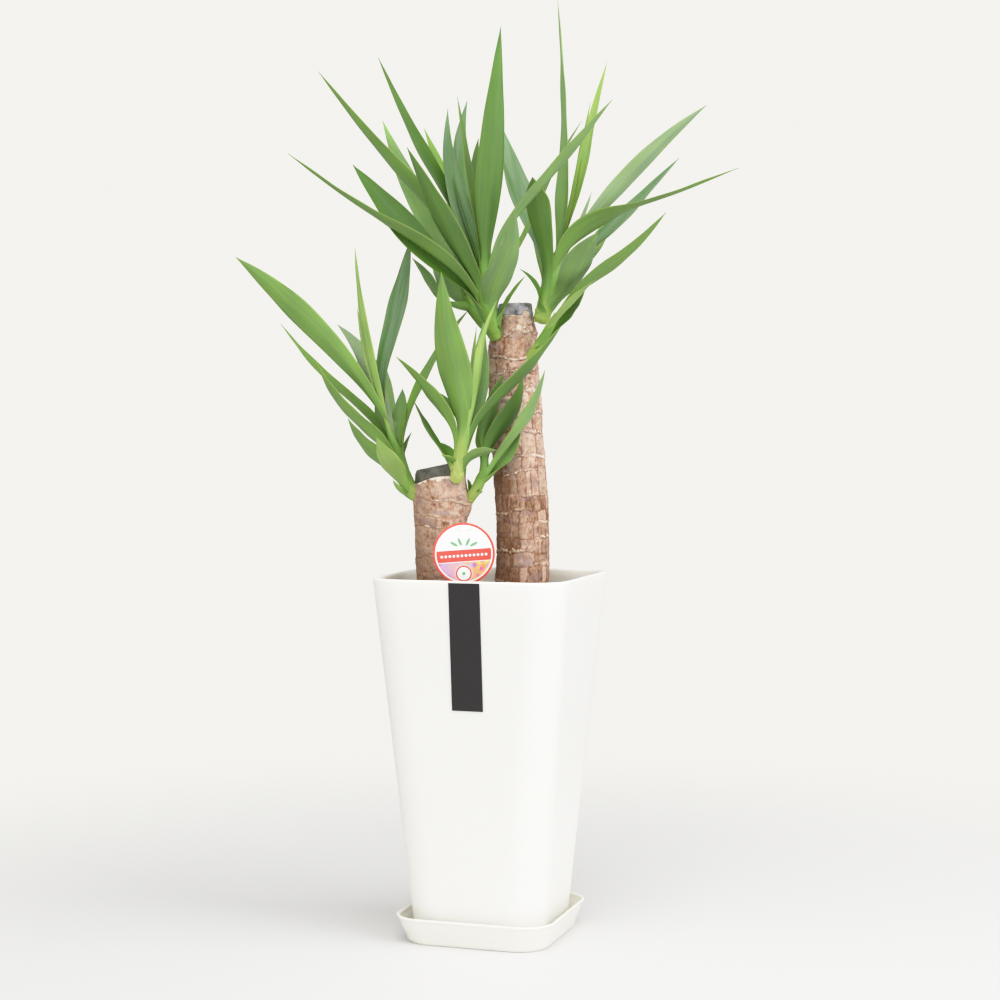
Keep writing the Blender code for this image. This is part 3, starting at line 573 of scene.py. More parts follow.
def turnBetween(angle, other):  # the shorter way round from one angle to another, in radians
    return np.remainder(angle - other + math.pi, 2 * math.pi) - math.pi


def edgeLine(cane, angle):
    # the line between bark and seal: a sine, and a flat-topped bell where bark shows higher
    turn, rise, width = cane["notch"]
    apart = turnBetween(angle, math.radians(turn))
    return sealWave * np.sin(3 * angle + 0.6) + rise * np.exp(-((apart / width) ** 4))


def rimDroop(cane, angle):  # how much lower than its slant the wax's rim lies on the left
    return cane["droop"] * smoothStep(-0.9 * np.cos(angle))


def knobSwell(cane, heights, angle):  # a bell curve round each knob's middle
    swell = 0
    for turn, up, rise in cane["knobs"]:
        across = turnBetween(angle, math.radians(turn)) * spineAt(cane, up)[2]
        swell = swell + rise * np.exp(-(across**2 + (heights - up) ** 2) / bark["knobReach"] ** 2)
    return swell


def roundRings(right, away, reach, angle, heights):  # points at a reach and an angle round an axis
    return np.stack([right + reach * np.cos(angle), away + reach * np.sin(angle), heights], axis=-1)


def caneRings(cane, up, rise, outward, angle, tilt=1.0):
    # rings round the cane: rise lifts each point and outward moves it out from the bark
    right, away, radius = spineAt(cane, up)
    heights = up + rise + tilt * cane["slope"] * radius * np.cos(angle)
    return roundRings(right, away, radius + outward + knobSwell(cane, heights, angle), angle, heights)


def makeBarkFinish():
    # dry cane bark: papery plates between reddish cracks, with pale strips where leaves tore off
    finish, shader, add = newMaterial("yuccaBark", Roughness=0.82, Specular_IOR_Level=0.3)
    place = add("TexCoord").outputs["Object"]
    marks = {name: add("Attribute", attribute_name=name).outputs["Fac"]
             for name in ("plateTone", "mauve", "strip", "stripTone", "crackDepth", "stainAndShade")}
    fibres = add("Mapping", place, Scale=(1, 1, 0.45))
    fine = add("TexNoise", fibres, Scale=520.0, Detail=4.0, Roughness=0.7)
    blotch = add("TexNoise", place, Scale=150.0, Detail=4.0)
    tone = marks["plateTone"]
    for noise, weight in ((fine, 1.3), (blotch, 0.9)):
        centred = add("Math", noise, -0.5, operation="ADD")
        tone = add("Math", centred, weight, tone, operation="MULTIPLY_ADD")
    places = (0.0, 0.2, 0.42, 0.64, 0.9)
    stops = [(at, bark[name]) for at, name in zip(places, ("dark", "brown", "tan", "rose", "beige"))]
    colour = add("ValToRGB", tone, stops=stops)
    torn = add("MixRGB", marks["stripTone"], linear(bark["straw"]), linear(bark["cream"]))
    # the brown laid over the plates is stain with painted shade on the left, and the torn strips also carry
    # the painted light of the lit side's pale blotches
    for mark, over in (("mauve", linear(bark["mauve"])), ("stainAndShade", linear(bark["stainAndShade"])),
                       ("strip", torn), ("crackDepth", linear(bark["crack"]))):
        colour = add("MixRGB", marks[mark], colour, over)
    setNode(shader, Base_Color=colour, Normal=add("Bump", Height=fine, Strength=0.5, Distance=0.0007))
    return finish


def crackTables(cane, middles, chance):
    # for each band of bark: how near the closest upright crack is, and its plate's tone, by angle;
    # low on the cane the cracks run on from band to band, and higher up each band has its own
    size = 2048
    angle = turns(size)
    step = 2 * math.pi / cane["cracks"]
    shared = (np.arange(cane["cracks"]) + chance.uniform(-0.3, 0.3, cane["cracks"])) * step
    near, tones = [], []
    for middle in middles:
        highness = smoothStep((middle - cane["cracksFrom"][0]) / np.ptp(cane["cracksFrom"]))
        kept = chance.random(cane["cracks"]) < np.interp(highness, (0, 1), cane["crackShare"])
        kept[chance.integers(cane["cracks"])] = True
        cracks = shared + step * chance.uniform(-0.5, 0.5, cane["cracks"]) * (0.15 + highness)
        near.append(np.abs(turnBetween(angle[:, None], cracks[kept])).min(axis=1))
        plate = (angle[:, None] > np.sort(cracks[kept])).sum(axis=1) % kept.sum()
        tones.append(chance.uniform(0.22 + 0.2 * highness, 0.84, kept.sum())[plate])
    return np.array(near), np.array(tones), size


def makeCane(name, finish):
    # bark is a grid of angle and height: each leaf scar is a dark line round the cane with a torn
    # pale strip on it, and the bark between two scars is split by upright cracks
    cane = canes[name]
    chance = np.random.default_rng(len(name))
    angle = turns(bark["columns"])[None, :]
    foot, top = cane["spine"][0][0], cane["spine"][-1][0]
    edge = top - cane["sealDepth"]
    start = soil["height"] - 14

    share = np.concatenate([[0, 0.5], np.linspace(1, 0, bark["rows"])[::-1] + 1])[:, None]
    slanted = cane["slope"] * spineAt(cane, edge)[2] * np.cos(angle)
    last = edge - gap + edgeLine(cane, angle) + slanted
    heights = np.where(share < 1, blend(foot, start, share), blend(start, last, share - 1))
    radius = spineAt(cane, heights)[2]
    surface = roundRings(0, 0, radius, angle, heights)
    coarse = ripple(surface, 16, 3)
    medium = ripple(surface, 5.5, 4, 14)
    fine = ripple(surface * np.array([1, 1, 0.7]), 1.9, 5, 22)

    # each scar's line: its level, its slant across the cane, and two sines round it
    up, slant, wave, middle, half, thick, paleness = np.array(cane["scars"]).T[..., None]
    order = np.arange(len(cane["scars"]))[:, None]
    lines = up + slant * radius[-1] * np.cos(angle)
    lines = lines + wave * (np.sin(2 * angle + 1.9 * order) + 0.7 * np.sin(5 * angle + 2.7 * order))
    lines = np.concatenate([np.full_like(angle, -99.0), lines, np.full_like(angle, 999.0)])
    warped = heights + bark["warp"] * (0.7 * medium + 0.5 * coarse)
    band = (warped[:, None, :] > lines[None]).sum(axis=1) - 1
    column = np.arange(bark["columns"])[None, :]
    rise, room = warped - lines[band, column], lines[band + 1, column] - warped
    room = np.minimum(room, last + 3 - heights)

    # the strip's height is a half ellipse about its middle, with ragged ends
    away = (radius[-1] * np.cos(angle) - middle) / half
    strips = thick * np.sqrt(np.clip(1 - away**2, 0, 1))
    strips = np.concatenate([np.zeros_like(angle), strips, np.zeros_like(angle)])
    paleness = np.concatenate([[[0.0]], paleness, [[0.0]]])
    strip = strips[band, column] * (0.85 + 0.8 * medium + 0.4 * fine)
    cream = smoothStep((strip + 1 - rise) / 0.6) * smoothStep((rise - 0.4) / 0.5) * (strip > 0.4)
    cream = cream * np.clip(0.68 + 0.45 * fine + 0.4 * medium, 0, 0.88)
    torn = smoothStep((cane["tornEdge"] * (0.8 + 1.2 * medium + 0.7 * coarse) - (last - heights)) / 0.8)
    cream = np.maximum(cream, 0.85 * torn)
    line = np.exp(-((rise - 0.1) / 0.75) ** 2) * smoothStep(0.8 + 0.5 * coarse + 0.5 * medium)
    above = 0.7 * np.exp(-((rise - strip - 1.4) / 0.6) ** 2) * (strip > 1)

    middles = (lines[1:, 0] + lines[:-1, 0]) / 2
    near, tones, size = crackTables(cane, middles, chance)
    wandering = angle + (0.9 * medium + 1.3 * coarse) / radius
    slot = (np.remainder(wandering, 2 * math.pi) / (2 * math.pi) * size).astype(int) % size
    crack = np.exp(-(near[band, slot] * radius / bark["crackWidth"]) ** 2)
    crack = crack * smoothStep(0.75 + 0.6 * coarse + 0.6 * medium) * (1 - 0.8 * cream)
    # fine crazing runs where an even noise crosses zero
    crazing = np.exp(-(ripple(surface * np.array([1, 1, 1.3]), 10, 6, 14) / bark["crazingWidth"]) ** 2)
    crazing = crazing * np.interp(smoothStep((heights - 400) / 150), (0, 1), cane["crazing"])
    crazing = crazing * smoothStep(0.7 + coarse + medium)
    groove = np.maximum(np.maximum(crack, crazing), np.maximum(line, above))
    groove = np.clip(groove * (1 - torn), 0, 1)
    groove = groove * (1 - 0.45 * cane["plain"])
    # a rusty halo lies along scars and cracks on the upper part
    rust = np.maximum(np.exp(-((rise / 2.4) ** 2)), np.exp(-((near[band, slot] * radius / 2) ** 2)))
    rust = cane["rust"] * rust * smoothStep((heights - 430) / 110) * smoothStep(0.6 + coarse + medium)

    step = chance.uniform(-1, 1, len(lines))[band]
    outward = bark["plateBulge"] * smoothStep(rise / 2.5) * smoothStep(room / 2.5)
    outward += bark["bandStep"] * step * smoothStep(rise / 1.5) * smoothStep(room / 1.5)
    outward += bark["grain"] * (0.5 * fine + 0.8 * medium) + 0.4 * coarse
    outward += 0.5 * cream * (1 + 0.4 * fine) - bark["crackDepth"] * groove
    outward *= smoothStep((last - heights + 0.4) / 2.5) * 0.8 + 0.2
    swell = knobSwell(cane, heights, angle)
    right, away = spineAt(cane, heights - slanted * (share > 1))[:2]
    rings = roundRings(right, away, radius + outward + swell, angle, heights)

    slim = sealWall + gap
    inner = [caneRings(cane, edge - gap, edgeLine(cane, angle[0]), -0.5, angle[0]),
             caneRings(cane, edge - gap, edgeLine(cane, angle[0]), -slim, angle[0]),
             caneRings(cane, top - slim, -rimDroop(cane, angle[0]), -slim - 0.4, angle[0])]
    rings = fromPlant(np.concatenate([rings, np.array(inner)]))

    # brown stain grows downwards, in patches, and painted shade of the same brown darkens the bark round to
    # the shaded left side
    lowness = smoothStep((cane["stainTo"] - heights) / 130)
    paintedShadeLeft = smoothStep(0.5 - 0.75 * np.cos(angle + 0.2))
    stainAndShade = (0.12 + 0.55 * paintedShadeLeft) * (0.25 + 0.75 * lowness) + 0.16 * coarse + 0.18 * medium
    stainAndShade = np.clip(stainAndShade, 0, 0.9) * (1 - 0.6 * cream)
    wet = 0.4 * np.clip(swell, 0, 1) * smoothStep(0.5 + medium)
    tone = tones[band, slot] * (1 - 0.7 * cane["plain"]) + 0.33 * cane["plain"]
    tone = tone + (0.1 + 0.05 * cane["plain"]) * (medium + coarse) + 0.12 * (1 - lowness) - 0.05
    # pale blotches on the lit side's upper part: the blotches are the bark's own, and keeping them to the
    # lit side is painted light
    pallorAndLight = 0.55 * smoothStep(0.3 + 0.7 * medium + 0.5 * coarse) * smoothStep(0.4 + 0.8 * np.cos(angle))
    pallorAndLight = pallorAndLight * (1 - lowness) * (1 - groove) * (0.35 + 0.65 * cane["plain"])
    stripTone = np.maximum(paleness[band, 0] + 0.15 * medium, torn * cane["tornTone"])
    stripTone = np.maximum(stripTone, 0.85 * (pallorAndLight > cream))
    marks = {
        "plateTone": tone,
        "mauve": 0.55 * smoothStep(ripple(surface, 13, 9) * 1.2 - 0.1) * (1 - groove),
        # the strip mark holds the torn pale strips and the pale blotches, which are painted light on the
        # lit side
        "strip": np.maximum(cream, pallorAndLight),
        "stripTone": stripTone,
        "crackDepth": np.clip(np.maximum(groove, rust) + wet, 0, 0.95),
        "stainAndShade": stainAndShade,
    }
    marks = {key: np.pad(value, ((0, len(inner)), (0, 0)), "edge") for key, value in marks.items()}
    addPiece("bark_" + name, [{"rings": rings, "marks": marks}], finish, ["cane_" + name], 70)


def makeSealFinish(name):
    # pruning wax: brushed on dark, with a grey bloom and soft lumps, half glossy; on the tall seal the pale
    # grey also stands for the light on the wax, a painted highlight
    finish, shader, add = newMaterial("pruningWax_" + name, IOR=1.45)
    place = add("TexCoord").outputs["Object"]
    cloud = add("TexNoise", place, Scale=120.0, Detail=4.0)
    speck = add("TexNoise", place, Scale=900.0, Detail=2.0)
    both = add("Math", speck, 0.45, cloud, operation="MULTIPLY_ADD")
    setNode(
        shader,
        Base_Color=add("ValToRGB", both, stops=list(zip((0.5, 0.9), canes[name]["sealTones"]))),
        Roughness=add("MapRange", cloud, To_Min=0.3, To_Max=0.62),
        Normal=add("Bump", Height=both, Strength=0.4, Distance=0.001),
    )
    return finish


def makeSeal(name, finish):
    # a cap of wax: inner wall, skirt to the wavy edge, outer wall, round shoulder and a lumpy top
    # that shrinks evenly from the shoulder to its middle
    cane = canes[name]
    angle = turns(192)
    top = cane["spine"][-1][0]
    edge = top - cane["sealDepth"]
    wave = edgeLine(cane, angle)
    rows = [(top - sealWall, 0, -sealWall - 0.4), (edge, 1, -sealWall), (edge, 1, 0.1)]
    rows += [(edge + 0.5, 1, 0.45), (edge + 1.4, 1, 0.55)]
    for share in np.linspace(0.12, 1, 12):
        rows.append((blend(edge + 1.4, top - 2, share), 1 - share, 0.5 - 0.5 * share))
    shoulderIn, shoulderUp = arcOf(1.6, 0, 90, 8)
    rows += [(top - 1.6 + up, 0, -inset) for inset, up in zip(shoulderIn, shoulderUp)]
    rings = np.array([caneRings(cane, up, wave * hang, outward, angle) for up, hang, outward in rows])
    height = (np.array([row[0] for row in rows]) - edge)[:, None] / cane["sealDepth"]
    rings[..., 2] -= np.clip(height, 0, 1) * rimDroop(cane, angle)
    middle = rings[-1].mean(axis=0)
    shrink = 1 - np.linspace(0.08, 0.97, 16)[:, None, None]
    rings = np.concatenate([rings, blend(middle, rings[-1], shrink)])
    lumps = 0.35 * ripple(rings, 7, 11) + 0.14 * ripple(rings, 2.4, 12, 16)
    away = unit(rings - (middle - np.array([0, 0, cane["sealDepth"]])))
    shown = np.ones((len(rings), 1))
    shown[:3] = 0
    rings += away * (lumps * shown)[..., None]
    addPiece("wax_" + name, [{"rings": fromPlant(rings)}], finish, ["seal_" + name], 70)


barkFinish = makeBarkFinish()
for name in canes:
    makeCane(name, barkFinish)
    makeSeal(name, makeSealFinish(name))
print("canes and seals are made")


# Leafy shoots

# A leaf's row is (rank, right, away, up, bow, sway, width, belly, face, turn, look): rank is how far
# up the stem it is rooted; right, away and up are its tip; bow and sway bend its rib to the left of
# the line to the tip; width is its widest, and belly the share of its length where that is; face is
# the side seen from the front, from 0 for the upper face through 90 for edge on to 180 for the
# underside; turn is how much more it twists further out; look is its colour, with painted light on
# some leaves.
shoots = {
    "shoot_tall_left": {
        "stem": ((5, -3, 596), (-4, -13, 616), (-6, -16, 662)), "radius": 9.5, "foot": 6,
        "pale": 0.15, "paleReach": 24,
        "leaves": (
            (1.0, 9, -20, 903, 1, 0, 29, 0.4, 158, 0, "fresh"),
            (0.9, -34, -4, 837, 0, 0, 18, 0.5, 64, 0, "mid"),
            (0.8, -25, 45, 841, 12.5, -3, 30, 0.5, 50, 0, "blue"),
            (0.7, -44, 15, 828, 8, -3, 24, 0.38, 27, 0, "blue"),
            (0.8, -14, 75, 807, 9, 0, 24, 0.56, 50, 0, "dark"),
            (0.5, -81, -75, 778, 0.3, 0, 30, 0.5, 131, 0, "deep"),
            (0.7, -115, 35, 883, -3, -2.5, 26, 0.5, 60, 0, "dark"),
            (0.5, -169, -40, 856, -10.5, -4.5, 25, 0.5, 124, -8, "mid"),
            (0.5, -112, 60, 823, 10.5, 1, 28, 0.55, 40, 0, "pale"),
            (0.7, -71, 100, 821, -1, 0, 24, 0.5, 50, 0, "mid"),
            (0.3, -137, -20, 768, 2.5, 0, 31, 0.6, 30, 0, "deep"),
            (0.2, -197, -60, 774, -12, -5, 28, 0.4, 125, -22, "mid"),
            (0.3, 23, -105, 714, -1, 2, 32, 0.36, 148, 0, "pale"),
            (0.4, 115, -98, 820, 22, 6, 21, 0.66, 114, 0, "pale"),
            (0.6, 91, 42, 820, -1, -3, 18, 0.56, 75, 0, "mid"),
            (0.1, 33, -25, 658, 3, 0, 10, 0.56, 66, 0, "mid"),
            (0.4, -40, 130, 770, 6, 0, 25, 0.56, 20, 0, "mid"),
        ),
    },
    "shoot_tall_right": {
        "stem": ((48, 9, 613), (55, 8, 631), (62, 10, 676)), "radius": 9.5, "foot": 8,
        "pale": 0.4, "paleReach": 30,
        "leaves": (
            (0.5, 40, -37, 754, -3, -1, 27, 0.8, 148, 0, "deep"),
            (0.9, 65, -18, 929, -10, -1.2, 25, 0.34, 58, 20, "pale"),
            (1.0, 116, 25, 876, -3, -2, 18, 0.5, 56, 0, "lime"),
            (0.9, 100, 38, 838, -3, -1, 14, 0.5, 73, 0, "lime"),
            (0.7, 105, 120, 757, -3, 0, 10, 0.45, 50, 0, "bloomAndSheen"),
            (0.7, 213, -10, 828, 12, 0, 20, 0.6, 145, 0, "bloomAndSheen"),
            (0.6, 192, 60, 785, -2.5, -1, 23, 0.48, 56, 0, "blue"),
            (0.3, 242, -35, 763, 31, 9, 31, 0.34, 138, -44, "mid"),
            (0.2, 102, -80, 696, -3.5, -3, 30, 0.6, 152, 0, "pale"),
            (0.5, 11, 72, 817, -2.5, -3, 25, 0.6, 15, 0, "blue"),
            (0.0, 28, -15, 666, -9, 0, 9, 0.56, 56, 0, "deep"),
            (0.4, 50, 135, 760, 4, 0, 16, 0.56, 25, 0, "mid"),
            (0.3, 130, 95, 735, -4, 0, 24, 0.56, 45, 0, "pale"),
        ),
    },
    "shoot_tall_rear": {
        "stem": ((7, 26, 602), (-16, 37, 615), (-26, 47, 647)), "radius": 6.5, "foot": 4.5,
        "pale": 0, "paleReach": 20,
        "leaves": (
            # the first and last leaves lie in shade behind the canes, and their pale look is painted light
            (0.7, -81, 32, 681, 11.5, 4, 22, 0.56, 63, 0, "pale"),
            (1.0, -58, 72, 738, 2, 0, 24, 0.56, 41, 0, "deep"),
            (0.8, -30, 105, 715, 3, 0, 20, 0.56, 25, 0, "deep"),
            (0.4, -62, 95, 674, 1, 0, 24, 0.56, 40, 0, "pale"),
        ),
    },
    "shoot_tall_low": {
        "stem": ((33, 0, 574), (49, -10, 590), (64, -16, 622)), "radius": 6, "foot": 4.5,
        "pale": 0.4, "paleReach": 30,
        "leaves": (
            (0.8, 168, -70, 716, 1.2, 3, 17, 0.52, 133, 0, "mid"),
            (0.4, 93, 0, 645, -3, 0, 20, 0.56, 60, 0, "dark"),
            (0.3, 100, -52, 652, 4, 0, 14, 0.56, 120, 0, "lime"),
        ),
    },
    "shoot_short_left": {
        "stem": ((-68, -15, 434), (-87, -17, 449), (-95, -20, 490)), "radius": 8, "foot": 4.5,
        "pale": 0.5, "paleReach": 26,
        "leaves": (
            (0.8, -251, -35, 676, -19, -2, 26, 0.7, 154, 0, "mid"),
            (1.0, -135, -20, 687, 7, 0, 14, 0.48, 130, 0, "lime"),
            (0.9, -81, 5, 697, 16, 6, 26, 0.7, 44, 0, "blue"),
            (0.9, -158, 50, 614, -9, 3, 27, 0.6, 48, 0, "bloomAndSheen"),
            (0.9, -116, 90, 590, 2, 0, 20, 0.56, 50, 0, "pale"),
            (0.6, -212, 10, 613, -5, -4, 22, 0.42, 68, 0, "mid"),
            (0.4, -171, -55, 573, 2, -3.5, 25, 0.45, 121, 0, "mid"),
            (0.2, -143, -15, 518, 3, -2, 22, 0.55, 130, 0, "mid"),
            (0.1, -111, -70, 499, 3, 0, 24, 0.56, 151, 0, "lime"),
            (0.0, -98, -25, 457, 3, 0, 9, 0.56, 132, 0, "lime"),
            (0.8, -90, 15, 548, 0, 0, 26, 0.64, 53, 0, "pale"),
            (0.6, -22, 5, 628, 16, 1, 22, 0.56, 66, 0, "mid"),
            (0.5, -81, 20, 504, 5, 0, 9, 0.56, 56, 0, "mid"),
            (0.4, -120, 75, 545, 4, 0, 22, 0.56, 40, 0, "mid"),
            (1.0, -136, 22, 629, 4, 0, 16, 0.56, 65, 0, "lime"),
        ),
    },
    "shoot_short_front": {
        "stem": ((-35, -33, 456), (-33, -45, 467), (-29, -50, 492)), "radius": 7.5, "foot": 7,
        "pale": 1, "paleReach": 60,
        "leaves": (
            (1.0, -48, -85, 658, 0, -2, 33, 0.46, 165, 0, "mid"),
            (1.0, 5, -55, 632, 2, -3, 15, 0.5, 122, 0, "lime"),
            (0.9, -15, -25, 608, -1, 0, 14, 0.56, 69, 0, "lime"),
            (0.8, -8, -22, 613, -7, -2, 24, 0.56, 34, 0, "pale"),
            (0.7, 67, -60, 606, 4, 3, 24, 0.56, 115, 0, "deep"),
            (0.6, -93, -60, 578, -11, -1, 24, 0.5, 120, 0, "mid"),
            (0.3, -76, -45, 535, 3, 0, 14, 0.56, 69, 0, "deep"),
            (0.7, -56, -20, 545, -13, 0, 15, 0.56, 58, 0, "deep"),
            (0.3, -51, -25, 494, -2, 0, 15, 0.56, 37, 0, "dark"),
            (0.0, -49, -60, 482, -7, 0, 9, 0.56, 132, 0, "mid"),
            (0.2, 5, -75, 487, 7, 0, 15, 0.56, 132, 0, "pale"),
        ),
    },
    "shoot_short_right": {
        "stem": ((-24, -18, 436), (-15, -24, 445), (-8, -26, 466)), "radius": 6.5, "foot": 5.5,
        "pale": 0.6, "paleReach": 26,
        "leaves": (
            (0.8, 52, -60, 565, -8, 1, 24, 0.6, 117, 0, "pale"),
            (0.7, 29, -28, 511, -7, 0, 20, 0.56, 53, 0, "pale"),
            (0.9, 31, -40, 560, 1, 4, 22, 0.56, 141, 0, "dark"),
            (1.0, 12, -32, 562, 5, 0, 22, 0.56, 133, 0, "dark"),
            (0.9, -3, 5, 536, 2, 0, 20, 0.56, 46, 0, "mid"),
            (0.1, -24, -20, 458, -1, 0, 8, 0.56, 60, 0, "mid"),
        ),
    },
}
leaf = {
    # launch is how far a rib sets off along the stem, and arch the power of its way to the back;
    # clasp and twist are the shares of the rib over which it rolls open and then twists; a sheath
    # wraps so many degrees each way, and opens into the blade over unfurl
    "rows": 56, "sheathRows": 12, "across": 13, "ribThickness": 1.3, "edgeThickness": 0.55, "tipWidth": 0.5,
    "baseWidth": 0.27, "fall": 1.5, "launch": 0.6, "arch": 1.25, "clasp": 0.42, "twist": (0.2, 0.62),
    "channelAtBase": 0.3, "channelAtTip": 0.1, "stemTaper": 0.8, "footReach": 0.32,
    "sheathReach": 0.42, "sheathWrap": 165, "mouthWrap": 78, "unfurl": 36,
    "scales": 0.7, "goldenAngle": 2.4,
}
leafColours = {
    # look: (colour of the blade, colour of its outer half, how much grey bloom lies on it)
    "dark": ("#41661d", "#466a1c", 0.1),
    "deep": ("#466d1c", "#496f20", 0.15),
    "fresh": ("#365d0d", "#386010", 0.05),
    "mid": ("#668b35", "#688e36", 0.15),
    "blue": ("#4b7329", "#487028", 0.9),
    # the pale look is a paler green, and it is painted light where it lifts leaves that lie in shade
    "pale": ("#7a9e54", "#799e52", 0.4),
    # this look is a grey bloom and a painted sheen: its pale grey-green stands for gloss catching the light
    "bloomAndSheen": ("#8fa373", "#869c6a", 0.8),
    "lime": ("#93b45a", "#97b55f", 0.0),
}
leafTints = {
    "foot": "#7ba033", "palest": "#c6d373", "sheath": "#5f8c2f",
    "bloom": "#8ba387", "margin": "#8f9d4c", "under": "#7d9c58",
}


def stemCurve(stem, share):  # a quadratic curve through its three handles, and its direction
    first, second, third = np.array(stem, float)
    share = np.asarray(share, float)[..., None]
    points = (1 - share) ** 2 * first + 2 * share * (1 - share) * second + share**2 * third
    return points, unit((1 - share) * (second - first) + share * (third - second))


def rootPlace(rank):  # the share of the stem at which a leaf of this rank is rooted
    return 0.15 + 0.85 * rank


def stemRadius(shoot, share):  # swells from a round foot, then tapers evenly to the tip
    length = np.linalg.norm(np.subtract(shoot["stem"][2], shoot["stem"][0]))
    swell = blend(shoot["foot"], shoot["radius"], smoothStep(share / leaf["footReach"]))
    around = 1 - np.clip(share * length / shoot["foot"], 0, 1)
    return swell * blend(1, leaf["stemTaper"], share) * np.sqrt(1 - around**2)


def leafWidth(share, width, belly):  # a sine rise from the base to the belly and a power fall to the tip
    rise = np.sin(np.clip(share / belly, 0, 1) * math.pi / 2) ** 2
    fall = np.clip((share - belly) / (1 - belly), 0, 1) ** leaf["fall"]
    return np.maximum(width * blend(leaf["baseWidth"], 1, rise) * (1 - fall), leaf["tipWidth"])


def rootSide(line, face):
    # the side of the stem on which a leaf is rooted: the side it leans to, or for a steep leaf the
    # side from which its blade shows its face without a turn
    outward = unit(line * (1, 1, 0))
    if face is None:
        return outward
    angle = math.radians(face)
    shown = np.array([math.copysign(math.sin(angle), line[0]), math.cos(angle), 0])
    return unit(blend(outward, shown, smoothStep((line[2] / np.linalg.norm(line) - 0.85) / 0.12)))


def leafRib(shoot, row, share):
    # the straight line to the tip, bowed by a parabola, swayed by a sine, setting off along the stem
    rank, right, away, up, bow, sway = row[:6]
    start, along = stemCurve(shoot["stem"], rootPlace(rank))
    tip = np.array([right, away, up], float)
    root = start + rootSide(tip - start, row[8]) * shoot["radius"] * 0.35
    line = tip - root
    left = unit(np.array([-line[2], 0, line[0]]))
    push = along - unit(line) * (along @ unit(line))
    share = share[:, None]
    points = root + line * share
    points[:, 1] = root[1] + line[1] * share[:, 0] ** leaf["arch"]
    points += left * (bow * 4 * share * (1 - share) + sway * np.sin(2 * math.pi * share))
    return points + push * leaf["launch"] * np.linalg.norm(line) * share * (1 - share) ** 6


def leafFrame(rib, share, face, turn):
    # the blade's side and upward directions: it clasps the stem, rolls open to its face, then twists
    along = unit(np.gradient(rib, axis=0))
    line = rib[-1] - rib[0]
    clasp = unit(np.cross(np.cross(along, -rootSide(line, face)), along))
    toFront = np.array([0, -1, 0])
    front = unit(toFront - along * (along @ toFront)[:, None])
    sky = np.cross(along, front) * (1 if line[0] < 0 else -1)
    start = math.atan2(clasp[0] @ sky[0], clasp[0] @ front[0])
    goal = start if face is None else math.radians(face)
    start += 2 * math.pi * round((goal - start) / (2 * math.pi))
    roll = blend(start, goal, smoothStep(share / leaf["clasp"]))
    first, last = leaf["twist"]
    roll += math.radians(turn) * smoothStep((share - first) / (last - first))
    above = front * np.cos(roll)[:, None] + sky * np.sin(roll)[:, None]
    return np.cross(along, above), above


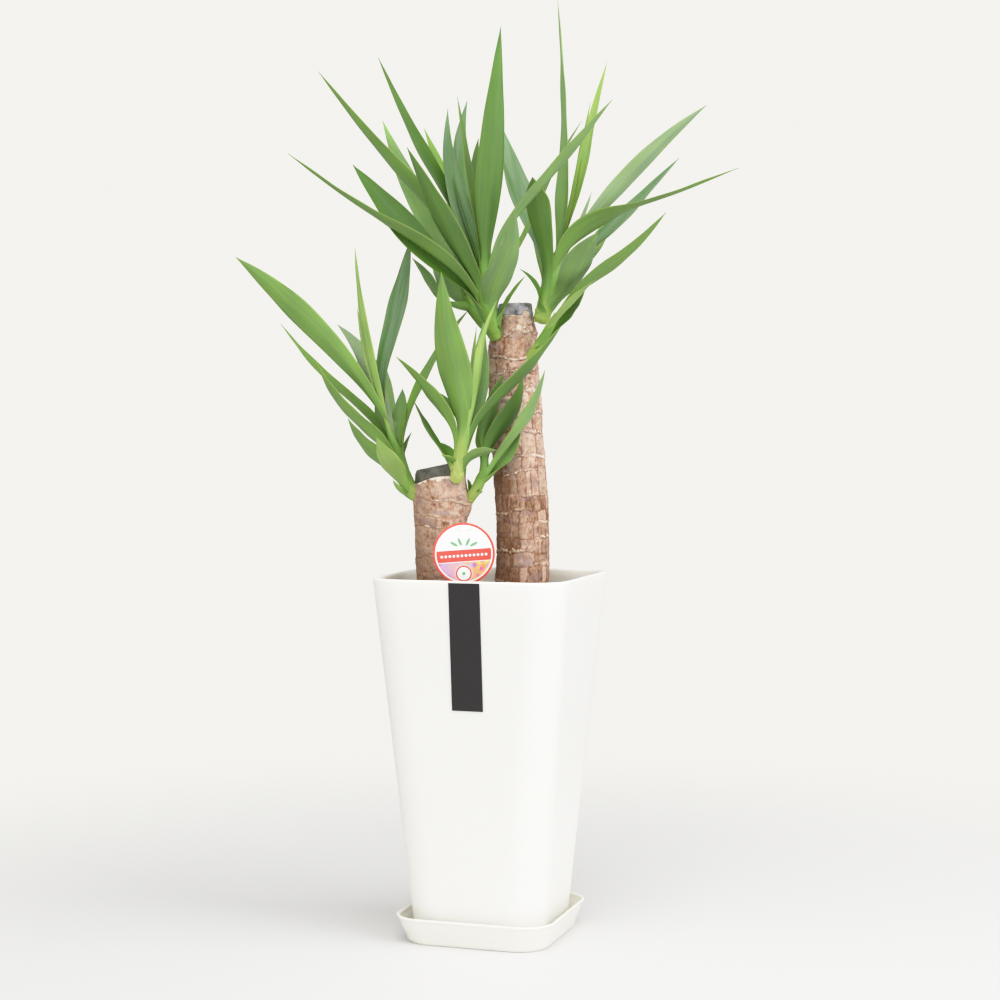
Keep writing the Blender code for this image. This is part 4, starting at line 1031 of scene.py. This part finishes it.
def makeLeaf(shoot, row, order, number):
    # a grid of share along the rib and place across it, over the top and back underneath: below its
    # mouth it is an arc round the stem, and above it the arc opens into the channelled blade
    width, belly, face, turn, look = row[6:]
    mouth = rootPlace(row[0])
    share = np.linspace(0, 1, leaf["rows"]) ** 1.12
    rib = leafRib(shoot, row, share)
    length = np.linalg.norm(rib[-1] - rib[0])
    side, above = leafFrame(rib, share, face, turn)
    across = np.linspace(-1, 1, leaf["across"])
    half = leafWidth(share, width, belly) / 2
    channel = blend(leaf["channelAtBase"], leaf["channelAtTip"], smoothStep(share / 0.6))
    phase = draw.uniform(0, 2 * math.pi, 3)
    ruffle = 0.4 * np.sin(share * 15 + phase[0]) + 0.25 * np.sin(share * 29 + phase[1])
    ruffle *= smoothStep(share / 0.25) * smoothStep((1 - share) / 0.2) * np.clip(width / 25, 0.3, 1)
    lift = (channel * 2 * half)[:, None] * np.abs(across) ** 1.35
    lift += ruffle[:, None] * across * np.abs(across) ** 2

    low = max(0.02, mouth - leaf["sheathReach"])
    down = np.linspace(low, mouth, leaf["sheathRows"], endpoint=False)
    start, along = stemCurve(shoot["stem"], down)
    inward = unit(above[0] - along * (along @ above[0])[:, None])
    below = (len(down), 0)
    opening = np.pad(smoothStep(share * length / min(leaf["unfurl"], 0.8 * length)), below)
    deep = np.concatenate([(mouth - down) / leaf["sheathReach"], np.zeros(len(share))])
    axis = np.concatenate([start, rib + above * (0.35 * shoot["radius"])])
    above = np.concatenate([inward, above])
    side = np.concatenate([np.cross(along, inward), side])
    radius = stemRadius(shoot, np.concatenate([down, np.full(len(share), mouth)]))
    radius = radius * (0.95 - 0.13 * deep - 0.03 * order) * (1 - 0.35 * opening)
    wrap = blend(leaf["mouthWrap"], leaf["sheathWrap"], deep**0.7)
    angle = np.radians(wrap * (1 - 0.4 * opening))[:, None] * across
    radial = side[:, None] * np.sin(angle)[..., None] - above[:, None] * np.cos(angle)[..., None]
    arc = axis[:, None] + radial * radius[:, None, None]
    flat = side[:, None] * np.pad(half, below)[:, None, None] * across[:, None]
    flat += np.pad(rib, (below, (0, 0)))[:, None]
    flat += above[:, None] * np.pad(lift, (below, (0, 0)))[..., None]
    mix = opening[:, None, None]
    middle = blend(arc, flat, mix)
    normal = unit(above[:, None] * mix - radial * (1 - mix))

    place = np.concatenate([(down - mouth) * 0.25, share])[:, None]
    thick = blend(leaf["edgeThickness"], leaf["ribThickness"], (1 - np.abs(across)) ** 1.5)
    thick = thick * (1 - 0.6 * smoothStep((place - 0.9) / 0.1))
    top = middle + normal * thick[..., None] / 2
    under = middle - normal * thick[..., None] / 2
    rings = np.concatenate([top, under[:, ::-1]], axis=1)
    both = np.concatenate([across, across[::-1]])
    reach = np.maximum(np.pad(half, below, "edge"), radius * (1 - opening))[:, None]
    grain = np.stack(np.broadcast_arrays(reach * both, place * length * 0.03, number * 9.7), axis=-1)
    marks = {
        "across": both[None],
        "upper": np.repeat([1.0, 0.0], len(across))[None],
        "grain": grain,
        "bloom": leafColours[look][2] * smoothStep(place * length / 60),
        "leafColour": leafTone(shoot, row, place, length, axis)[:, None],
    }
    return {"rings": fromPlant(rings), "marks": marks}


def footTone(shoot):  # the colour of the shoot's foot, between a fresh green and a pale yellow-green
    foot, palest = (np.array(linear(leafTints[name])[:3]) for name in ("foot", "palest"))
    return blend(foot, palest, shoot["pale"])


def leafTone(shoot, row, place, length, axis):
    # the blade's colour changes evenly outwards and in soft clouds, all sheaths share one green, and
    # near the shoot's foot they pass into the foot's own pale tone, which climbs higher on the
    # leaves rooted higher
    blade, outer = (np.array(linear(code)[:3]) for code in leafColours[row[-1]][:2])
    sheath = np.array(linear(leafTints["sheath"])[:3])
    tone = blend(blade, outer, smoothStep((place - 0.3) / 0.5))
    tone = blend(sheath, tone, smoothStep((place * length + 6) / 45))
    tone = tone * (1 + draw.normal(0, 0.05))
    cloud = ripple(place * length + draw.uniform(0, 900), 60, 21, 7)[:, None]
    hue = ripple(place * length, 35, 22, 7)[:, None] * np.array([1, 0, -1])
    tone = tone * (1 + 0.11 * cloud) * (1 + 0.06 * hue)
    fromFoot = np.linalg.norm(axis - shoot["stem"][0], axis=1)[:, None]
    foot = 1 - smoothStep((fromFoot - 6) / shoot["paleReach"])
    foot = foot * (1 - smoothStep(place * length / (8 + 60 * max(row[0], 0) ** 2)))
    return blend(tone, footTone(shoot), foot)


def makeStem(shoot, number):
    # the core that the leaves' sheaths wrap: a tapering tube along the curve, round at both ends
    share = np.linspace(0, 1, 40) ** 1.4
    points, along = stemCurve(shoot["stem"], share)
    angle = turns(40)
    radius = np.maximum(0.84 * stemRadius(shoot, share) * (1 - 0.5 * smoothStep((share - 0.8) / 0.2)), 0.4)
    side = unit(np.cross(along, (0, 1, 0)))
    front = np.cross(along, side)
    rings = points[:, None] + radius[:, None, None] * (
        np.cos(angle)[:, None] * side[:, None] + np.sin(angle)[:, None] * front[:, None]
    )
    grain = np.broadcast_arrays(angle * shoot["radius"], share[:, None] * 3, number * 5.3)
    marks = {
        "across": 0,
        "upper": 0,
        "grain": np.stack(grain, axis=-1),
        "bloom": 0,
        "leafColour": footTone(shoot)[None, None],
    }
    return {"rings": fromPlant(rings), "marks": marks}


def scaleRows(shoot):
    # short pointed scales round the foot, more of them on a thicker one, each turned by the golden
    # angle from the one before
    rows = []
    for step in range(int(shoot["foot"] * leaf["scales"])):
        rank = -0.13 + 0.045 * step
        around = leaf["goldenAngle"] * step + shoot["radius"]
        start, along = stemCurve(shoot["stem"], rootPlace(rank))
        out = np.array([math.cos(around), math.sin(around), 0])
        tip = start + along * draw.uniform(13, 21) + out * shoot["radius"] * draw.uniform(0.8, 1.25)
        rows.append((rank, *tip, 0, 0, shoot["radius"] * 1.1, 0.3, None, 0, "fresh"))
    return rows


def makeLeafFinish():
    # living leaf: a waxy skin over fine lengthwise veins, paler beneath, with a thin pale margin and
    # a bluish bloom that lies in streaks
    finish, shader, add = newMaterial("yuccaLeaf", IOR=1.42, Specular_IOR_Level=0.3)
    across, upper, bloom = (add("Attribute", attribute_name=name).outputs["Fac"]
                            for name in ("across", "upper", "bloom"))
    grain = add("Attribute", attribute_name="grain").outputs["Vector"]
    veins = add("TexNoise", grain, Scale=0.75, Detail=3.0, Roughness=0.6)
    wide = add("VectorMath", grain, (0.35, 1, 1), operation="MULTIPLY")
    broad = add("TexNoise", wide, Scale=0.42, Detail=3.0)
    beneath = add("MapRange", upper, To_Min=0.25, To_Max=0.0)
    blade = add("Attribute", attribute_name="leafColour").outputs["Color"]
    blade = add("MixRGB", beneath, blade, linear(leafTints["under"]))
    haze = add("Math", bloom, add("MapRange", broad, 0.32, 0.6, 0.0, 0.6), operation="MULTIPLY")
    blade = add("MixRGB", haze, blade, linear(leafTints["bloom"]))
    # the veins run from a yellower green to a bluer, darker one; the inputs of a map of vectors come
    # after the six of a map of numbers
    tints = ((0.3,) * 3, (0.7,) * 3, (0.86, 0.91, 1.1), (1.12, 1.08, 0.88))
    fine = add("MapRange", *[None] * 6, veins, *tints, data_type="FLOAT_VECTOR").outputs["Vector"]
    shade = add("VectorMath", fine, Scale=add("MapRange", broad, 0.3, 0.7, 1.12, 0.9), operation="SCALE")
    veined = add("VectorMath", blade, shade, operation="MULTIPLY")
    rim = add("MapRange", add("Math", across, operation="ABSOLUTE"), 0.95, 1.0, 0.0, 0.6)
    setNode(
        shader,
        Base_Color=add("MixRGB", rim, veined, linear(leafTints["margin"])),
        Roughness=add("MapRange", upper, To_Min=0.5, To_Max=0.42),
        Normal=add("Bump", Height=veins, Strength=0.14, Distance=0.0006),
    )
    return finish


leafFinish = makeLeafFinish()
number = 0
for name, shoot in shoots.items():
    rows = list(shoot["leaves"]) + scaleRows(shoot)
    order = np.argsort(np.argsort([row[0] for row in rows], kind="stable")) / len(rows)
    solids = [makeStem(shoot, number)]
    for row, place in zip(rows, order):
        number += 1
        solids.append(makeLeaf(shoot, row, place, number))
    addPiece(name.replace("shoot", "leaves"), solids, leafFinish, [name], 80)
print("shoots are made:", number, "leaves and scales")


# Label and band

label = {
    "centre": (-27, -57, 386), "radius": 30.3, "thickness": 1.0,
    "stakeWidth": 9, "stakeThickness": 1.6, "stakeRecess": 0.2, "stakeFoot": 262,
    "tilt": 4, "coral": "#e24534", "blush": "#f3b9b4", "white": "#fbfbfa", "green": "#6aa974",
    "shadow": "#dde6df", "ink": "#1c1819", "inkPale": "#242021",
    # (right, up, lean, ink) of each leaflet, in card radii and degrees, then each ring's size and ink
    "leaflets": (
        (-0.32, 0.31, 62, "green"), (-0.13, 0.38, 25, "green"), (0.13, 0.38, -25, "green"),
        (0.32, 0.31, -62, "green"), (-0.17, 0.77, 75, "shadow"), (0.17, 0.77, -75, "shadow"),
    ),
    "spots": ((0.31, "blush"), (0.255, "coral"), (0.21, "white"), (0.055, "green")),
    "rims": ((0.885, "white"), (0.928, "coral")), "leafletSize": (0.045, 0.14, 1), "spotUp": -0.64,
    # the stripe's middle and half height, the dots on it, and the top of the flowers below it
    "stripe": (-0.06, 0.19), "dotStep": 0.13, "dotSize": 0.042, "dotReach": 0.77, "flowersTo": -0.27,
    "petals": (
        (0.2, "#9a66c2"), (0.36, "#e9669f"), (0.5, "#f3df55"), (0.64, "#ee8d42"), (0.8, "#94b8ea"),
    ),
    "ground": ("#cfa6c9", "#f3ab6c"),
}


def makeCardFinish():
    # coated card, printed: a coral rim and band on white, a sprig above, and soft flowers below; the
    # inks are laid one over another, each where its mask is 1, with the card's radius as the unit
    finish, shader, add = newMaterial("printedCard", Roughness=0.45, Coat_Weight=0.1)
    place = add("Attribute", attribute_name="cardPlace").outputs["Vector"]
    turned = add("Mapping", place, Rotation=(0, 0, math.radians(-label["tilt"])))
    across, up = add("SeparateXYZ", turned).outputs[:2]
    cells = add("TexVoronoi", place, Scale=5.5)
    petals = add("ValToRGB", cells.outputs["Color"], stops=label["petals"])
    first, last = (linear(code) for code in label["ground"])
    ground = add("MixRGB", add("MapRange", across, -0.6, 0.3), first, last)
    colour = add("MixRGB", add("MapRange", cells, 0.28, 0.55), petals, ground)

    middle, half = label["stripe"]
    repeat = add("CombineXYZ", add("Math", across, label["dotStep"], operation="PINGPONG"), up)
    dot = add("VectorMath", repeat, (label["dotStep"] / 2, middle, 0), operation="DISTANCE")
    dot = add("Math", dot.outputs["Value"], label["dotSize"], operation="LESS_THAN")
    within = add("Math", across, 0, label["dotReach"], operation="COMPARE")
    inks = [
        (add("Math", up, label["flowersTo"], operation="GREATER_THAN"), "white"),
        (add("Math", up, middle, half, operation="COMPARE"), "coral"),
        (add("Math", dot, within, operation="MULTIPLY"), "white"),
    ]
    for right, rise, lean, ink in label["leaflets"]:
        leaflet = add("Mapping", place, Location=(right, rise, 0), Rotation=(0, 0, math.radians(lean)),
                      Scale=label["leafletSize"], vector_type="TEXTURE")
        inside = add("VectorMath", leaflet, operation="LENGTH").outputs["Value"]
        inks.append((add("Math", inside, 1.0, operation="LESS_THAN"), ink))
    spot = add("VectorMath", place, (0, label["spotUp"], 0), operation="DISTANCE").outputs["Value"]
    for size, ink in label["spots"]:
        inks.append((add("Math", spot, size, operation="LESS_THAN"), ink))
    radius = add("VectorMath", place, operation="LENGTH").outputs["Value"]
    for size, ink in label["rims"]:
        inks.append((add("Math", radius, size, operation="GREATER_THAN"), ink))
    for mask, ink in inks:
        colour = add("MixRGB", mask, colour, linear(label[ink]))
    printed = add("Attribute", attribute_name="printed").outputs["Fac"]
    setNode(shader, Base_Color=add("MixRGB", printed, linear(label["white"]), colour))
    return finish


def makeLabel(finish):
    # the card is a disc with a softened rim, and the stake a strip with a rounded point behind it
    right, away, up = label["centre"]
    around = turns(160)
    half = label["thickness"] / 2
    reach = np.array([0.02, 0.5, 0.985, 0.996, 1.0, 1.0, 0.996, 0.985, 0.5, 0.02])[:, None]
    depth = half * np.array([1, 1, 1, 0.8, 0.5, -0.5, -0.8, -1, -1, -1])
    x, y = reach * np.cos(around), reach * np.sin(around)
    card = np.stack(np.broadcast_arrays(
        right + x * label["radius"], away + depth[:, None], up + y * label["radius"]
    ), axis=-1)
    place = np.stack([x, y, np.zeros_like(x)], axis=-1)
    printed = np.broadcast_to((depth < -half * 0.4)[:, None], x.shape)
    near = away - half + label["stakeRecess"]
    far = near + label["stakeThickness"]
    foot = label["stakeFoot"]
    heights = np.concatenate([foot + 14 * (1 - np.cos(np.linspace(0.1, math.pi / 2, 9))), [up - 20, up]])
    widths = label["stakeWidth"] / 2 * np.concatenate([np.sin(np.linspace(0.3, math.pi / 2, 9)), [1, 1]])
    corners = np.array([
        (-1, 0.15), (-0.93, 0), (0.93, 0), (1, 0.15), (1, 0.85), (0.93, 1), (-0.93, 1), (-1, 0.85),
    ])
    stake = np.stack(np.broadcast_arrays(
        right + widths[:, None] * corners[:, 0], near + (far - near) * corners[:, 1], heights[:, None]
    ), axis=-1)
    bare = {"cardPlace": np.zeros((1, 1, 3)), "printed": 0}
    solids = [
        {"rings": fromPlant(card), "marks": {"cardPlace": place, "printed": printed}},
        {"rings": fromPlant(stake), "marks": bare},
    ]
    addPiece("round_label", solids, finish, ["plant_label"], 30)


def makeBandFinish():
    # printed film: flat charcoal ink with a satin face and a faint paper grain
    finish, shader, add = newMaterial("printedFilm", Specular_IOR_Level=0.35)
    grain = add("TexNoise", add("TexCoord").outputs["Object"], Scale=700.0, Detail=3.0)
    ink = add("ValToRGB", grain, stops=[(0.3, label["ink"]), (0.7, label["inkPale"])])
    setNode(shader, Base_Color=ink, Roughness=add("MapRange", grain, To_Min=0.42, To_Max=0.58))
    return finish


makeLabel(makeCardFinish())
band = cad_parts["front_band"]
band.material_slots[0].material = makeBandFinish()
print("label and band are made")
